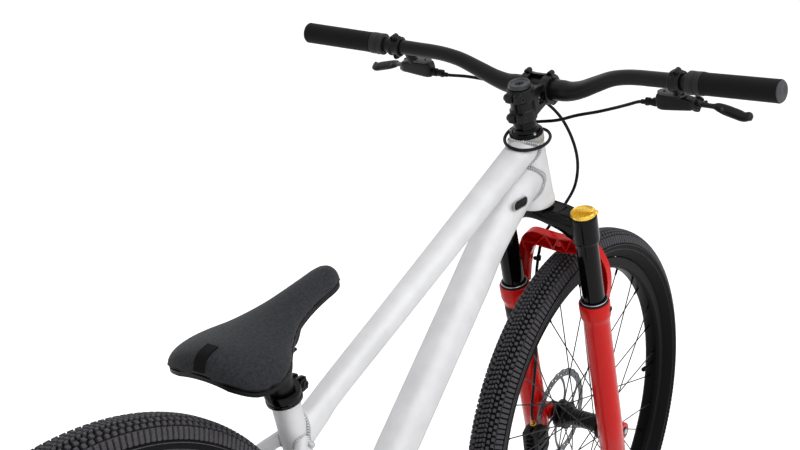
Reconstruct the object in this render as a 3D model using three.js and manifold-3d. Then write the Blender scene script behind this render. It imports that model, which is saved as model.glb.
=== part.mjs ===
// Dirt jump bike, in millimetres. X points forward, Y to the rider's left and Z up.
// The origin is on the ground, midway between the two axles.
import * as THREE from 'three';
import { mergeVertices } from 'three/addons/utils/BufferGeometryUtils.js';
import Module from 'manifold-3d';

const degree = Math.PI / 180;

// Overall layout
const wheelRadius = 334;
const wheelbase = 1056;
const headAngle = 69.9 * degree;
const forkOffset = 42.4;
const bottomBracketForward = 393;
const bottomBracketHeight = 318;

// Clearances
const weldGap = 0.3;
const slideGap = 0.7;
const spinGap = 0.9;
const overrun = 2;

// How round an oval section is: 1 is an ellipse, less is squarer
const tubeRoundShare = 0.92;
const armRoundShare = 0.8;
const castingRoundShare = 0.7;
const padSideRoundShare = 0.9;
const padTopRoundShare = 0.8;

// Roundness of turned parts
const tubeSides = 16;
const smallSides = 8;
const cordSides = 6;
const wheelSides = 28;
const hubSides = 12;

// Tyre and rim
const tyreHalfWidth = 28.5;
const tyreFlatHalfWidth = 7.5;
const tyreShoulderHalfWidth = 20.5;
const tyreShoulderDrop = 6.5;
const tyreSideDepth = 22;
const tyreBeadHalfWidth = 11.4;
const tyreBeadThickness = 3.4;
const tyreCasingThickness = 3.2;
const tyreTreadThickness = 6;
const tyreHeight = 53.5;
const beadSeatRadius = wheelRadius - tyreHeight;
const rimDepth = 14.5;
const rimInnerRadius = beadSeatRadius - rimDepth;
const rimInnerHalfWidth = 8.5;
const rimSideDepth = 9.5;
const rimSideRadius = beadSeatRadius - rimSideDepth;
const rimHalfWidth = 14.5;
const rimFlangeHeight = 5.5;
const rimFlangeRadius = beadSeatRadius + rimFlangeHeight;
const rimFlangeThickness = 2.4;

// Spokes
const spokeCount = 32;
const spokeRadius = 1;
const spokePassGap = 0.3;
const spokeSides = 3;
const spokeCrossings = 3;
const spokeLead = (spokeCrossings * 4 * Math.PI) / spokeCount;
const spokeRingDepth = 4;
const spokeRingThickness = 4.4;
const spokeWebThickness = 1.4;
const hubFlangeRadius = 24;

// Front hub, axle and rotor
const frontHubWidth = 110;
const frontAxleRadius = 7.5;
const frontAxleLength = 168;
const frontAxleHeadRadius = 11;
const frontAxleHeadLength = 5;
const frontHubBore = 8.8;
const frontHubShellRadius = 15;
const frontHubCapRadius = 12;
const frontLeftFlangeY = 28;
const frontRightFlangeY = -37;
const rotorRadius = 80;
const rotorBandDepth = 14;
const rotorThickness = 1.8;
const rotorArmCount = 6;
const rotorArmWidth = 6.5;
const rotorArmSweep = 34 * degree;
const rotorMountRadius = 25;
const rotorMountDepth = 6;
const frontRotorY = 44;

// Rear hub, axle and cog
const rearHubWidth = 135;
const rearAxleRadius = 5;
const rearHubBore = 6.2;
const rearHubShellRadius = 17;
const rearHubCapRadius = 10;
const rearLeftFlangeY = 30;
const rearRightFlangeY = -24;
const rearRotorY = 51.5;
const axleNutRadius = 9;
const axleNutLength = 7;
const chainPlaneY = -43.5;
const driverRadius = 15;
const cogThickness = 2.2;

// Drivetrain
const chainPitch = 12.7;
const chainringTeeth = 28;
const cogTeeth = 13;
// A tooth's corners: share of the pitch round, and -1 for its root or 1 for its tip
const toothShares = [[-0.42, -1], [-0.13, 1], [0.13, 1]];
const toothHeight = 3.2;
const toothRootDepth = 3.4;
const chainWidth = 7;
const chainHeight = 8.4;
const chainringThickness = 2.2;
const chainringHoleRadius = 21;
const chainringWindowRadius = 8;
const chainringWindowCircle = 36;
const spindleRadius = 12;
const crankLength = 170;
const crankInnerY = 50;
const crankRootHalfThickness = 8;
const crankTipHalfThickness = 6;
const crankRootHalfHeight = 17;
const crankOutset = 10;
const crankBossRadius = 20;
// Crank arm from behind its root to past the pedal: share of length, of outset, of root thickness
// and of root height
const crankStationShares = [
  [-0.08, 0, 0.8, 0.75],
  [0, 0, 1, 1],
  [0.25, 0.4, 0.9, 0.735],
  [0.8, 1, 0.75, 0.625],
  [1, 1, 0.75, 0.735],
  [1.07, 1, 0.6, 0.44],
];
const pedalSpindleRadius = 6;
const pedalSpindleLength = 88;
const pedalLength = 100;
const pedalWidth = 96;
const pedalThickness = 17;
const pedalStandoff = 8;
const pedalRim = 11;
const pedalBoreRadius = 6.6;
const pedalBossRadius = 9.5;

// Bottom bracket
const shellRadius = 22.5;
const shellWidth = 73;
const shellBoreRadius = 18;
const cupRadius = 21;
const cupLength = 4;
const cupBoreRadius = 13;

// Main tubes; distances on the steering axis start from the point nearest the front axle
const headTubeBottom = 461;
const headTubeLength = 116;
const headTubeTop = headTubeBottom + headTubeLength;
const seatTubeRadius = 17.45;
const seatTubeBore = 15.8;
const seatTubeAngle = 70.8 * degree;
const seatTubeLength = 322;
const topTubeSeatDrop = 72;
const topTubeSeatDistance = seatTubeLength - topTubeSeatDrop;
const topTubeHeadDrop = 15;
const topTubeHeadDistance = headTubeTop - topTubeHeadDrop;
const topTubeHeadSetback = 6;
const topTubeSeatFlare = 11;
const topTubeSeatHalfHeight = 17;
const topTubeSeatHalfWidth = 17;
const topTubeHeadHalfHeight = 19;
const topTubeHeadHalfWidth = 24;
// Top tube stations from the seat tube: share of the way, and of the flare under its seat end
const topTubePlaceShares = [0, 0.07, 0.12, 0.35, 0.65, 0.87, 1];
const topTubeFlareShares = [1, 0.5, 0, 0, 0, 0, 0];
const topTubeWidthShares = [0, 0.02, 0.04, 0.21, 0.52, 0.81, 1];
const downTubeStartShare = 0.03;
const downTubeMiddleShare = 0.5;
const downTubeSwageShare = 0.9;
const downTubeHeadDrop = 70;
const downTubeHeadDistance = headTubeTop - downTubeHeadDrop;
const downTubeKneeBack = 42.4;
const downTubeKneeDrop = 23.8;
const downTubeBendBack = 76;
const downTubeBendDrop = 64;
const downTubeHalfWidth = 28;
const downTubeHalfHeight = 28;
const downTubeHeadHalfWidth = 25.5;
const downTubeHeadHalfHeight = 24;
const tubeWall = 2;
const headTubeBottomRadius = 29;
const headTubeTopRadius = 25.5;
const headTubeLip = 9;
const headTubeBore = 21.5;
const seatSlotRadius = 2.2;
const seatSlotLength = 13;

// Stays and dropouts
const stayWall = 2;
const chainstayHalfHeight = 11;
const chainstayHalfWidth = 7;
const chainstayRootY = 24;
const chainstayTyreY = 44.5;
const chainstayEndY = 64;
const chainstayRise = 4;
const seatstayHalfWidth = 8;
const seatstayHalfHeight = 9;
const seatstayRootY = 19;
const seatstayTyreY = 43;
const seatstayEndY = 65;
const seatstayTopDrop = 70;
const seatstayTopDistance = seatTubeLength - seatstayTopDrop;
// Stay stations from the front: share of the way back, spread (1 is at the tyre, 2 at the end), size
const chainstayPlaceShares = [0.02, 0.13, 0.23, 0.45, 0.7, 0.93];
const chainstaySpreadShares = [0, 0.3, 1, 1.3, 1.68, 2];
const chainstayHeightShares = [0.6, 0.9, 1, 1, 1, 0.85];
const seatstayPlaceShares = [0.03, 0.14, 0.25, 0.6, 1];
const seatstaySpreadShares = [0, 0.8, 1, 1.5, 2];
const seatstaySizeShares = [1, 1, 1, 0.95, 0.8];
const stayMouthShare = -0.2;
const dropoutThickness = 6;
const dropoutRadius = 21;
const dropoutNeck = 62;
const dropoutNeckHalfHeight = 13;
const dropoutSlotLength = 16;

// Seat clamp, post and saddle
const collarRadius = 22.5;
const collarHeight = 15;
const collarLip = 1.6;
const collarEarLength = 9;
const collarEarWidth = 17;
const collarSlit = 2.5;
const postRadius = 15.4;
const postDepth = 190;
const railRise = 62;
const saddlePitch = 16 * degree;
const postHeadWidth = 50;
const postHeadLength = 34;
const postHeadHeight = 17;
const railRadius = 3.5;
const railHalfSpan = 22;
const railBackRoom = 20.8;
const railFrontRoom = 8.4;
const railSeatDrop = 2.05;
const railTailDrop = 3.6;
const railNoseShare = 0.74;
const railTailShare = 0.12;
const railNoseSpanShare = 0.42;
const railTailSpanShare = 1.3;
const railBendSpanShare = 1.2;
const railDropSpanShare = 0.8;
const railStraightShare = 0.15;
const saddleLength = 234;
const saddleTailX = -108;
const saddleHalfWidth = 77.5;
const saddleThickness = 24;
const saddleBaseHeight = 27;
const saddleDroop = 14.5;
const saddleBaseThickness = 4;
const saddleBaseInset = 3;
const saddleBaseGap = 0.8;
const saddleSides = 24;

// Saddle outline from tail to nose: share of length, of half width, of droop and of thickness
const saddleStationShares = [
  [0, 0.5, 0.3, 0.45],
  [0.02, 0.72, 0.55, 0.78],
  [0.06, 0.88, 0.85, 0.95],
  [0.13, 0.98, 1, 1],
  [0.2, 1, 1, 0.93],
  [0.28, 0.93, 0.9, 0.85],
  [0.38, 0.7, 0.65, 0.79],
  [0.48, 0.53, 0.4, 0.79],
  [0.58, 0.4, 0.25, 0.83],
  [0.7, 0.31, 0.18, 0.9],
  [0.82, 0.265, 0.12, 0.9],
  [0.91, 0.245, 0.1, 0.88],
  [0.97, 0.19, 0.1, 0.8],
  [1, 0.1, 0.2, 0.6],
];

// Fork
const headsetGap = 1;
const crownRaceDistance = headTubeBottom - headsetGap;
const stanchionSpread = 73.5;
const stanchionForward = 11;
const stanchionRadius = 17.5;
const stanchionTopDrop = 15;
const stanchionTop = crownRaceDistance - stanchionTopDrop;
const forkTravel = 100;
const stanchionFootRoom = 8;
const crownClampRadius = 21;
const crownClampHeight = 46;
const crownClampBottom = stanchionTop - crownClampHeight;
const crownHalfDepth = 24;
const crownMiddleHalfHeight = 8.5;
const crownMiddleDrop = 9;
const crownMiddleDistance = crownRaceDistance - crownMiddleDrop;
const crownShoulderY = 48;
const crownShoulderDrop = 27;
const crownShoulderDistance = crownRaceDistance - crownShoulderDrop;
const crownShoulderHalfHeight = 17;
const crownShoulderHalfDepth = 20.4;
const crownShoulderForward = 7.7;
const crownArmWidthShare = 0.75;
const crownArmHeightShare = 0.9;
const steererRadius = 14.3;
const steererBore = 12;
const steererBaseRadius = 19.4;
const steererBaseLength = 20;
const legRadius = 21.4;
const legFootRadius = 21;
const legTop = 287;
const legBottom = -22;
const legBore = 18.3;
const legBoreBottom = 4;
const legCollarRadius = 25;
const legCollarHeight = 22;
const legCollarTaper = 10;
const archForward = 52;
const archHalfDepth = 8;
const archHalfHeight = 13;
const archTop = 357;
const archSpan = 74.5;
const archRootDistance = 276;
const archRootForward = 37;
// Arch stations from a leg to the middle: out from the middle, up, forward and height
const archSpanShares = [0.993, 1, 0.926, 0.671, 0.349];
const archRiseShares = [0, 0.37, 0.69, 1.03, 1];
const archForwardShares = [0, 0.73, 1, 1, 1];
const archHeightShares = [0.58, 0.58, 0.68, 0.95, 1];
const lugRadius = 14;
const lugWebHeight = 23.8;
const lugInnerY = 55.3;
const lugOuterY = 82;
const wiperHeight = 5;
const wiperLipRadius = 20.5;
const wiperOuterRadius = 23;
const knobRadius = 19.5;
const knobHeight = 5;
const knobTopRadius = 13.6;
const knobFinLength = 33;
const knobFinHeight = 4;
const knobFinWidth = 5;

// Headset and stem
const headsetCoverHeight = 13.5;
const spacerStack = 26;
const spacerTop = headTubeTop + spacerStack;
const spacerRadius = 18;
const bearingHeight = 9;
const bearingLip = 1.5;
const bearingOuterRadius = 21;
const bearingBore = 19.9;
const stemReach = 51;
const stemHeight = 51;
const steererDrop = 2;
const steererTop = spacerTop + stemHeight - steererDrop;
const stemRadius = 19.5;
const stemBarRise = 26;
const stemBarDistance = spacerTop + stemBarRise;
const stemNeckHalfWidth = 15;
const stemNeckHalfHeight = 15;
const clampRadius = 22.5;
const clampWidth = 48;
const faceplateSplit = 0.8;
const faceplateBoltRadius = 4.5;
const topCapRadius = 16.5;
const topCapHeight = 7;
const topCapPlugRadius = 10.5;
const topCapPlugLength = 14;

// Handlebar
const barHalfWidth = 392.5;
const barClampRadius = 15.9;
const barEndRadius = 11.1;
const barRise = 64.5;
const barSweep = 39.5;
const barSides = 12;
// Share of half width, of sweep, of rise, and of the taper from clamp size to end size
const barStationShares = [
  [0, 0, 0, 0],
  [0.1, 0, 0, 0],
  [0.14, 0.02, 0.02, 0.3],
  [0.19, 0.06, 0.12, 0.6],
  [0.26, 0.13, 0.33, 0.8],
  [0.33, 0.2, 0.53, 0.95],
  [0.39, 0.26, 0.63, 1],
  [0.45, 0.31, 0.68, 1],
  [1, 1, 1, 1],
];

// Grips and controls, placed by their distance out from the middle of the bar
const gripInnerY = 280;
const gripOuterY = 395.5;
const gripRadius = 16;
const gripCapThickness = 2.5;
const gripCollarInnerY = 258;
const gripCollarRadius = 16.6;
const gripCollarBoltRadius = 3.2;
const brakeClampInnerY = 229;
const brakeClampOuterY = 248;
const brakeClampRadius = 15.6;
const masterInnerY = 180;
const masterOuterY = 243;
const masterNeckY = 225.3;
const masterForward = 53;
const masterRise = 7;
const masterDistance = stemBarDistance + masterRise;
const masterHalfDepth = 10;
const masterHalfHeight = 11;
const masterPlaceShares = [0, 0.15, 0.6, 1];
const masterSizeShares = [0.6, 0.95, 1, 0.8];
const masterPivotY = 251;
const masterPivotForward = 60;
const masterPivotRise = 3;
const masterPivotDistance = stemBarDistance + masterPivotRise;
const masterPivotRadius = 7;
const masterNeckRadius = 8;
const masterForkRadius = 8;
const masterForkSetback = 12.6;
const leverSwingRoom = 4.9;
const leverPinRadius = 2.45;
const masterEarHalfThickness = 10;
const leverBossHalfThickness = 5;
const leverTipY = 327;
const leverTipForward = 66;
const leverTipDrop = 15;
const leverTipDistance = stemBarDistance - leverTipDrop;
const leverHalfThickness = 3.5;
const leverHalfHeight = 6.5;
const leverRootHalfHeight = 3.2;
const leverBowHalfThickness = 3.15;
const leverTipHalfHeight = 5.85;
const leverHookHalfThickness = 2.8;
const leverHookHalfHeight = 3.9;
const leverBowShare = 0.4;
const leverBladeShare = 0.6;
const hosePortRadius = 5;
const hosePortLength = 6;
const masterPortDrop = 8;

// Calipers
const caliperLength = 54;
const caliperWidth = 30;
const caliperDepth = 38;
const caliperSlot = 3.4;
const caliperCentreRadius = 82;
const rearCaliperCentreRadius = 74;
const frontCaliperAngle = 175 * degree;
const rearCaliperAngle = 62 * degree;
const caliperEarRadius = 6;
const caliperPortRadius = 4.5;
const caliperPortLength = 6;
const rearCaliperLength = 40;
const rearCaliperDepth = 22;

// Port cover on the right of the down tube
const portDistance = downTubeHeadDistance;
const portBehind = 72;
const portHalfLength = 15;
const portHalfHeight = 6;
const portDepth = 4;
const portProud = 1;

// Brake hoses
const hoseRadius = 2.5;
const hoseChannelRadius = 5.5;
const rearHoseSteps = 68;
const frontHoseSteps = 42;
// The top of the rear hose in the steering frame: forward, left and up the steering axis
const rearHoseTopRoute = [
  [53, -173.7, 628], [53, -164, 628], [57.5, -147, 617.4], [64, -119, 598], [71, -88, 586],
  [76, -48, 572], [74, -16, 560.1], [66, 10, 551], [46, 32, 552], [14, 43, 559],
  [-18, 35, 567.9], [-37.1, 6, 581.8], [-28, -24, 577], [4, -36, 573], [34, -29, 563],
  [51, -4, 553], [44, 28, 544], [15.9, 46, 535], [-26, 48, 521], [-64, 36, 508],
  [-96.4, 14, 493.8],
];
// Along the down tube: share of the way from the bottom bracket to its bend, left and above
const rearHoseTubeRoute = [
  [1.007, 3, 0.4], [0.862, 0, 0], [0.681, 0, -0.3], [0.499, 0, -0.6],
  [0.348, 2, 0.4], [0.281, 14, -9.7], [0.257, 29, -32.2], [0.209, 38, -49.4],
];
// Its rear end from the rear axle: forward, left and up
const rearHoseEndRoute = [
  [430, 42, -22], [398, 42, -48], [360, 42, -50], [318, 45, -38],
  [258, 50, -31], [188, 54, -27], [143, 54, -25], [120, 50, -21],
  [104, 46, -9], [90, 46, 12], [77.5, 44.2, 33], [66.7, 44, 48.4],
  [58, 46, 53],
];
// The front hose is routed in the steering frame: forward, left and up the steering axis
const frontHoseRoute = [
  [53, 173.7, 628], [53, 163, 628], [60, 134, 626], [74, 88, 615], [85, 46, 600], [90, 14, 580],
  [91, -8, 555], [89, -24, 516], [85, -28, 482], [75, -24, 450], [66, -8, 420], [66, 20, 382],
  [66, 42, 350], [63, 52, 320], [51, 55, 286], [31, 50, 245], [14, 48, 200], [5, 49, 150],
  [-11, 50, 105], [-27, 48.6, 76], [-35.5, 46.8, 58], [-36.2, 46.4, 47],
];

// Finishes
const rawAluminium = { color: 0xd4d6d9, roughness: 0.38, metalness: 0.9 };
const satinBlack = { color: 0x17181a, roughness: 0.5, metalness: 0.4 };
const glossBlack = { color: 0x0c0d0f, roughness: 0.16, metalness: 0.5 };
const glossRed = { color: 0xc4161c, roughness: 0.25, metalness: 0.1 };
const blackRubber = { color: 0x1b1b1c, roughness: 0.85, metalness: 0 };
const tyreRubber = { color: 0x222224, roughness: 0.8, metalness: 0 };
const goldAnodised = { color: 0xd79a12, roughness: 0.3, metalness: 0.9 };
const darkSteel = { color: 0x55585c, roughness: 0.35, metalness: 0.9 };
const brightSteel = { color: 0x9fa3a8, roughness: 0.3, metalness: 0.9 };
const saddleCloth = { color: 0x3b3d40, roughness: 0.95, metalness: 0 };
const mouldedBlack = { color: 0x141415, roughness: 0.6, metalness: 0 };

const wasm = await Module();
wasm.setup();

// Turns a closed geometry into a solid, whichever way its faces were wound.
function solid(geometry) {
  const bare = geometry.clone();
  bare.deleteAttribute('normal');
  bare.deleteAttribute('uv');
  const merged = mergeVertices(bare);
  const places = merged.attributes.position.array;
  const corners = merged.index.array;
  const triangles = [];
  for (let i = 0; i < corners.length; i += 3) {
    const [a, b, c] = [corners[i], corners[i + 1], corners[i + 2]];
    if (a !== b && b !== c && c !== a) triangles.push(a, b, c);
  }
  const point = (k) => new THREE.Vector3().fromArray(places, 3 * k);
  let volume = 0;
  for (let i = 0; i < triangles.length; i += 3) {
    volume += point(triangles[i]).dot(point(triangles[i + 1]).cross(point(triangles[i + 2])));
  }
  if (volume < 0) triangles.reverse();
  const mesh = new wasm.Mesh({
    numProp: 3,
    vertProperties: new Float32Array(places),
    triVerts: new Uint32Array(triangles),
  });
  mesh.merge();
  return new wasm.Manifold(mesh);
}

function vector(point) {
  return Array.isArray(point) ? new THREE.Vector3(...point) : point.clone();
}

// A round bar between two points, tapering when its end radius differs.
function rod(from, to, radius, sides = tubeSides, endRadius = radius) {
  const start = vector(from);
  const run = vector(to).sub(start);
  const geometry = new THREE.CylinderGeometry(endRadius, radius, run.length(), sides);
  geometry.translate(0, run.length() / 2, 0);
  const turn = new THREE.Quaternion().setFromUnitVectors(
    new THREE.Vector3(0, 1, 0),
    run.clone().normalize(),
  );
  geometry.applyQuaternion(turn);
  geometry.translate(start.x, start.y, start.z);
  return solid(geometry);
}

function block(size, centre, turn = 0) {
  const geometry = new THREE.BoxGeometry(...size);
  geometry.rotateY(turn);
  geometry.translate(...centre);
  return solid(geometry);
}

// A solid turned about the Y direction; a profile point is [radius, y].
function turned(profile, sides, start = 0) {
  const outline = profile.map(([radius, y]) => new THREE.Vector2(radius, y));
  outline.push(outline[0].clone());
  return solid(new THREE.LatheGeometry(outline, sides, start));
}

// A flat outline in X and Z, given its thickness across Y about the plane y.
function plate(shape, thickness, y) {
  const geometry = new THREE.ExtrudeGeometry(shape, { depth: thickness, bevelEnabled: false });
  geometry.translate(0, 0, -thickness / 2);
  geometry.rotateX(Math.PI / 2);
  geometry.translate(0, y, 0);
  return solid(geometry);
}

function disc(radius, sides) {
  const shape = new THREE.Shape();
  for (let i = 0; i < sides; i += 1) {
    const angle = (2 * Math.PI * i) / sides;
    const corner = [radius * Math.cos(angle), radius * Math.sin(angle)];
    if (i === 0) shape.moveTo(...corner);
    else shape.lineTo(...corner);
  }
  return shape;
}

// A round cord along a smooth curve through the points.
function strand(points, radius, sides, steps) {
  const path = new THREE.CatmullRomCurve3(points.map(vector), false, 'centripetal');
  const options = { steps, bevelEnabled: false, extrudePath: path };
  return solid(new THREE.ExtrudeGeometry(disc(radius, sides), options));
}

// A closed skin over rings that all have the same number of points.
function skin(rings) {
  const count = rings[0].length;
  const places = rings.flat().flatMap((point) => point.toArray());
  const corners = [];
  for (let r = 0; r + 1 < rings.length; r += 1) {
    for (let k = 0; k < count; k += 1) {
      const next = (k + 1) % count;
      const [a, b] = [r * count + k, r * count + next];
      const [c, d] = [a + count, b + count];
      corners.push(a, b, d, a, d, c);
    }
  }
  const last = (rings.length - 1) * count;
  for (let k = 1; k + 1 < count; k += 1) {
    corners.push(0, k + 1, k, last, last + k, last + k + 1);
  }
  const geometry = new THREE.BufferGeometry();
  geometry.setAttribute('position', new THREE.Float32BufferAttribute(places, 3));
  geometry.setIndex(corners);
  return solid(geometry);
}

// An oval tube through stations of { at, wide, tall }; tall is measured along the up direction.
function oval(stations, up, sides = tubeSides, grow = 0, squareness = 1) {
  const centres = stations.map((station) => vector(station.at));
  const rings = centres.map((centre, i) => {
    const before = centres[Math.max(i - 1, 0)];
    const after = centres[Math.min(i + 1, centres.length - 1)];
    const along = after.clone().sub(before).normalize();
    const wide = vector(up).cross(along).normalize();
    const tall = along.clone().cross(wide);
    return Array.from({ length: sides }, (_, k) => {
      const angle = (2 * Math.PI * (k + 0.5)) / sides;
      const across = Math.sign(Math.cos(angle)) * Math.abs(Math.cos(angle)) ** squareness;
      const above = Math.sign(Math.sin(angle)) * Math.abs(Math.sin(angle)) ** squareness;
      return centre.clone()
        .addScaledVector(wide, across * (stations[i].wide + grow))
        .addScaledVector(tall, above * (stations[i].tall + grow));
    });
  });
  return skin(rings);
}

function mixed(start, end, share) {
  return start + (end - start) * share;
}

function addPart(group, name, shape, finish) {
  const mesh = shape.getMesh();
  const geometry = new THREE.BufferGeometry();
  const positions = new THREE.Float32BufferAttribute(mesh.vertProperties, mesh.numProp);
  geometry.setAttribute('position', positions);
  geometry.setIndex(new THREE.Uint32BufferAttribute(mesh.triVerts, 1));
  geometry.computeVertexNormals();
  const part = new THREE.Mesh(geometry, new THREE.MeshStandardMaterial(finish));
  part.name = name;
  group.add(part);
  return part;
}

// Places that the rest of the bike is built on
const rearAxle = new THREE.Vector3(-wheelbase / 2, 0, wheelRadius);
const frontAxle = new THREE.Vector3(wheelbase / 2, 0, wheelRadius);
const bottomBracket = new THREE.Vector3(rearAxle.x + bottomBracketForward, 0, bottomBracketHeight);
const steerUp = new THREE.Vector3(-Math.cos(headAngle), 0, Math.sin(headAngle));
const steerForward = new THREE.Vector3(Math.sin(headAngle), 0, Math.cos(headAngle));
const steerFoot = frontAxle.clone().addScaledVector(steerForward, -forkOffset);
const seatUp = new THREE.Vector3(-Math.cos(seatTubeAngle), 0, Math.sin(seatTubeAngle));
const seatForward = new THREE.Vector3(Math.sin(seatTubeAngle), 0, Math.cos(seatTubeAngle));
const sideways = new THREE.Vector3(0, 1, 0);
const upward = new THREE.Vector3(0, 0, 1);

function onSteering(distance, forward = 0, left = 0) {
  return steerFoot.clone()
    .addScaledVector(steerUp, distance)
    .addScaledVector(steerForward, forward)
    .addScaledVector(sideways, left);
}

function onSeatTube(distance, forward = 0, left = 0) {
  return bottomBracket.clone()
    .addScaledVector(seatUp, distance)
    .addScaledVector(seatForward, forward)
    .addScaledVector(sideways, left);
}

function downTubePlaces() {
  const head = onSteering(downTubeHeadDistance);
  const knee = head.clone().sub(new THREE.Vector3(downTubeKneeBack, 0, downTubeKneeDrop));
  const bend = knee.clone().sub(new THREE.Vector3(downTubeBendBack, 0, downTubeBendDrop));
  return { head, knee, bend };
}

// From the right master round the head tube, down the down tube and back to the rear caliper.
const rearHoseRoute = [
  ...rearHoseTopRoute.map(([forward, left, up]) => onSteering(up, forward, left)),
  ...rearHoseTubeRoute.map(([share, left, above]) => (
    bottomBracket.clone().lerp(downTubePlaces().bend, share).add(vector([0, left, above]))
  )),
  ...rearHoseEndRoute.map((place) => vector(place).add(rearAxle)),
];

const bike = new THREE.Group();
const steering = new THREE.Group();
steering.position.copy(steerFoot);
steering.rotation.y = headAngle - Math.PI / 2;
bike.add(steering);

// Frame

function seatTubeBody(grow) {
  return rod(onSeatTube(0), onSeatTube(seatTubeLength), seatTubeRadius + grow);
}

function shellBody(grow) {
  const half = shellWidth / 2;
  const from = bottomBracket.clone().addScaledVector(sideways, -half - grow);
  const to = bottomBracket.clone().addScaledVector(sideways, half + grow);
  return rod(from, to, shellRadius + grow);
}

function headTubeBody(grow) {
  const lipBottom = headTubeBottom + headTubeLip;
  const lipTop = headTubeTop - headTubeLip;
  const waist = Math.min(headTubeBottomRadius, headTubeTopRadius) - tubeWall / 2;
  const stack = [
    rod(onSteering(headTubeBottom - grow), onSteering(lipBottom), headTubeBottomRadius + grow),
    rod(onSteering(lipBottom - overrun), onSteering(lipTop + overrun),
      headTubeBottomRadius - tubeWall / 2 + grow, tubeSides, waist + grow),
    rod(onSteering(lipTop), onSteering(headTubeTop + grow), headTubeTopRadius + grow),
  ];
  return stack.reduce((sum, piece) => sum.add(piece));
}

function topTubeBody(grow) {
  const start = onSeatTube(topTubeSeatDistance);
  const end = onSteering(topTubeHeadDistance, -topTubeHeadSetback);
  const stations = topTubePlaceShares.map((share, i) => {
    const flare = (topTubeSeatFlare / 2) * topTubeFlareShares[i];
    const at = start.clone().lerp(end, share);
    at.z -= flare;
    return {
      at,
      wide: mixed(topTubeSeatHalfWidth, topTubeHeadHalfWidth, topTubeWidthShares[i]),
      tall: mixed(topTubeSeatHalfHeight, topTubeHeadHalfHeight, share) + flare,
    };
  });
  return oval(stations, upward, tubeSides, grow, tubeRoundShare);
}

function downTubeBody(grow) {
  const { head, knee, bend } = downTubePlaces();
  const along = (share) => bottomBracket.clone().lerp(bend, share);
  const full = { wide: downTubeHalfWidth, tall: downTubeHalfHeight };
  const slim = { wide: downTubeHeadHalfWidth, tall: downTubeHeadHalfHeight };
  const between = {
    wide: (full.wide + slim.wide) / 2,
    tall: (full.tall + slim.tall) / 2,
  };
  const stations = [
    { at: along(downTubeStartShare), ...full },
    { at: along(downTubeMiddleShare), ...full },
    { at: along(downTubeSwageShare), ...full },
    { at: along(1), ...between },
    { at: knee, ...slim },
    { at: head, ...slim },
  ];
  return oval(stations, upward, tubeSides, grow);
}

function portCentre(side) {
  return onSteering(portDistance, -portBehind, side * downTubeHeadHalfWidth);
}

function portSlab(grow, inner, outer) {
  const along = onSteering(downTubeHeadDistance)
    .sub(onSteering(portDistance, -portBehind)).normalize();
  const half = portHalfLength - portHalfHeight;
  const centre = portCentre(-1);
  const ends = [-half, half].map((run) => {
    const middle = centre.clone().addScaledVector(along, run);
    const from = middle.clone().addScaledVector(sideways, inner);
    const to = middle.clone().addScaledVector(sideways, -outer);
    return rod(from, to, portHalfHeight + grow, smallSides);
  });
  const size = [2 * half, inner + outer, 2 * (portHalfHeight + grow) * Math.cos(Math.PI / smallSides)];
  const turn = -Math.atan2(along.z, along.x);
  const middle = centre.clone().addScaledVector(sideways, (inner - outer) / 2);
  return block(size, middle.toArray(), turn).add(ends[0]).add(ends[1]);
}

function headTube() {
  const bore = rod(
    onSteering(headTubeBottom - overrun),
    onSteering(headTubeTop + overrun),
    headTubeBore,
  );
  return headTubeBody(0).subtract(bore);
}

function topTube() {
  const above = rod(onSteering(headTubeTop - headTubeLip), onSteering(headTubeTop + headTubeLip),
    (headTubeTopRadius + weldGap) / Math.cos(Math.PI / tubeSides));
  return topTubeBody(0)
    .subtract(topTubeBody(-tubeWall))
    .subtract(headTubeBody(weldGap))
    .subtract(above)
    .subtract(seatTubeBody(weldGap));
}

function downTube() {
  const channel = strand(rearHoseRoute, hoseChannelRadius, cordSides, rearHoseSteps);
  return downTubeBody(0)
    .subtract(downTubeBody(-tubeWall))
    .subtract(headTubeBody(weldGap))
    .subtract(topTubeBody(weldGap))
    .subtract(shellBody(weldGap))
    .subtract(seatTubeBody(weldGap))
    .subtract(channel)
    .subtract(portSlab(weldGap, portDepth, portDepth));
}

function seatTube() {
  const bore = rod(onSeatTube(0), onSeatTube(seatTubeLength + overrun), seatTubeBore);
  const slotTop = seatTubeLength - collarHeight - seatSlotLength;
  const slot = rod(
    onSeatTube(slotTop, seatTubeBore - tubeWall),
    onSeatTube(slotTop, seatTubeRadius + overrun),
    seatSlotRadius,
    smallSides,
  );
  return seatTubeBody(0)
    .subtract(bore)
    .subtract(slot)
    .subtract(shellBody(weldGap));
}

function bottomBracketShell() {
  const half = shellWidth / 2 + overrun;
  const bore = rod(
    bottomBracket.clone().addScaledVector(sideways, -half),
    bottomBracket.clone().addScaledVector(sideways, half),
    shellBoreRadius,
  );
  return shellBody(0).subtract(bore);
}

function dropout(side) {
  const inner = rearHubWidth / 2;
  const outer = inner + dropoutThickness;
  const across = (point, y) => new THREE.Vector3(point.x, side * y, point.z);
  const disk = rod(across(rearAxle, inner), across(rearAxle, outer), dropoutRadius);
  const neck = block(
    [dropoutNeck, dropoutThickness, 2 * dropoutNeckHalfHeight],
    [rearAxle.x + dropoutNeck / 2, side * (inner + outer) / 2, rearAxle.z],
  );
  const slotBack = rearAxle.clone();
  slotBack.x -= dropoutSlotLength;
  const hole = rearAxleRadius + slideGap;
  const round = rod(
    across(rearAxle, inner - overrun),
    across(rearAxle, outer + overrun),
    hole,
    smallSides,
  );
  const slot = block(
    [dropoutRadius + overrun, dropoutThickness + 2 * overrun, 2 * hole * Math.cos(Math.PI / smallSides)],
    [rearAxle.x - (dropoutRadius + overrun) / 2, side * (inner + outer) / 2, rearAxle.z],
  );
  return disk.add(neck).subtract(round).subtract(slot);
}

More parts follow.
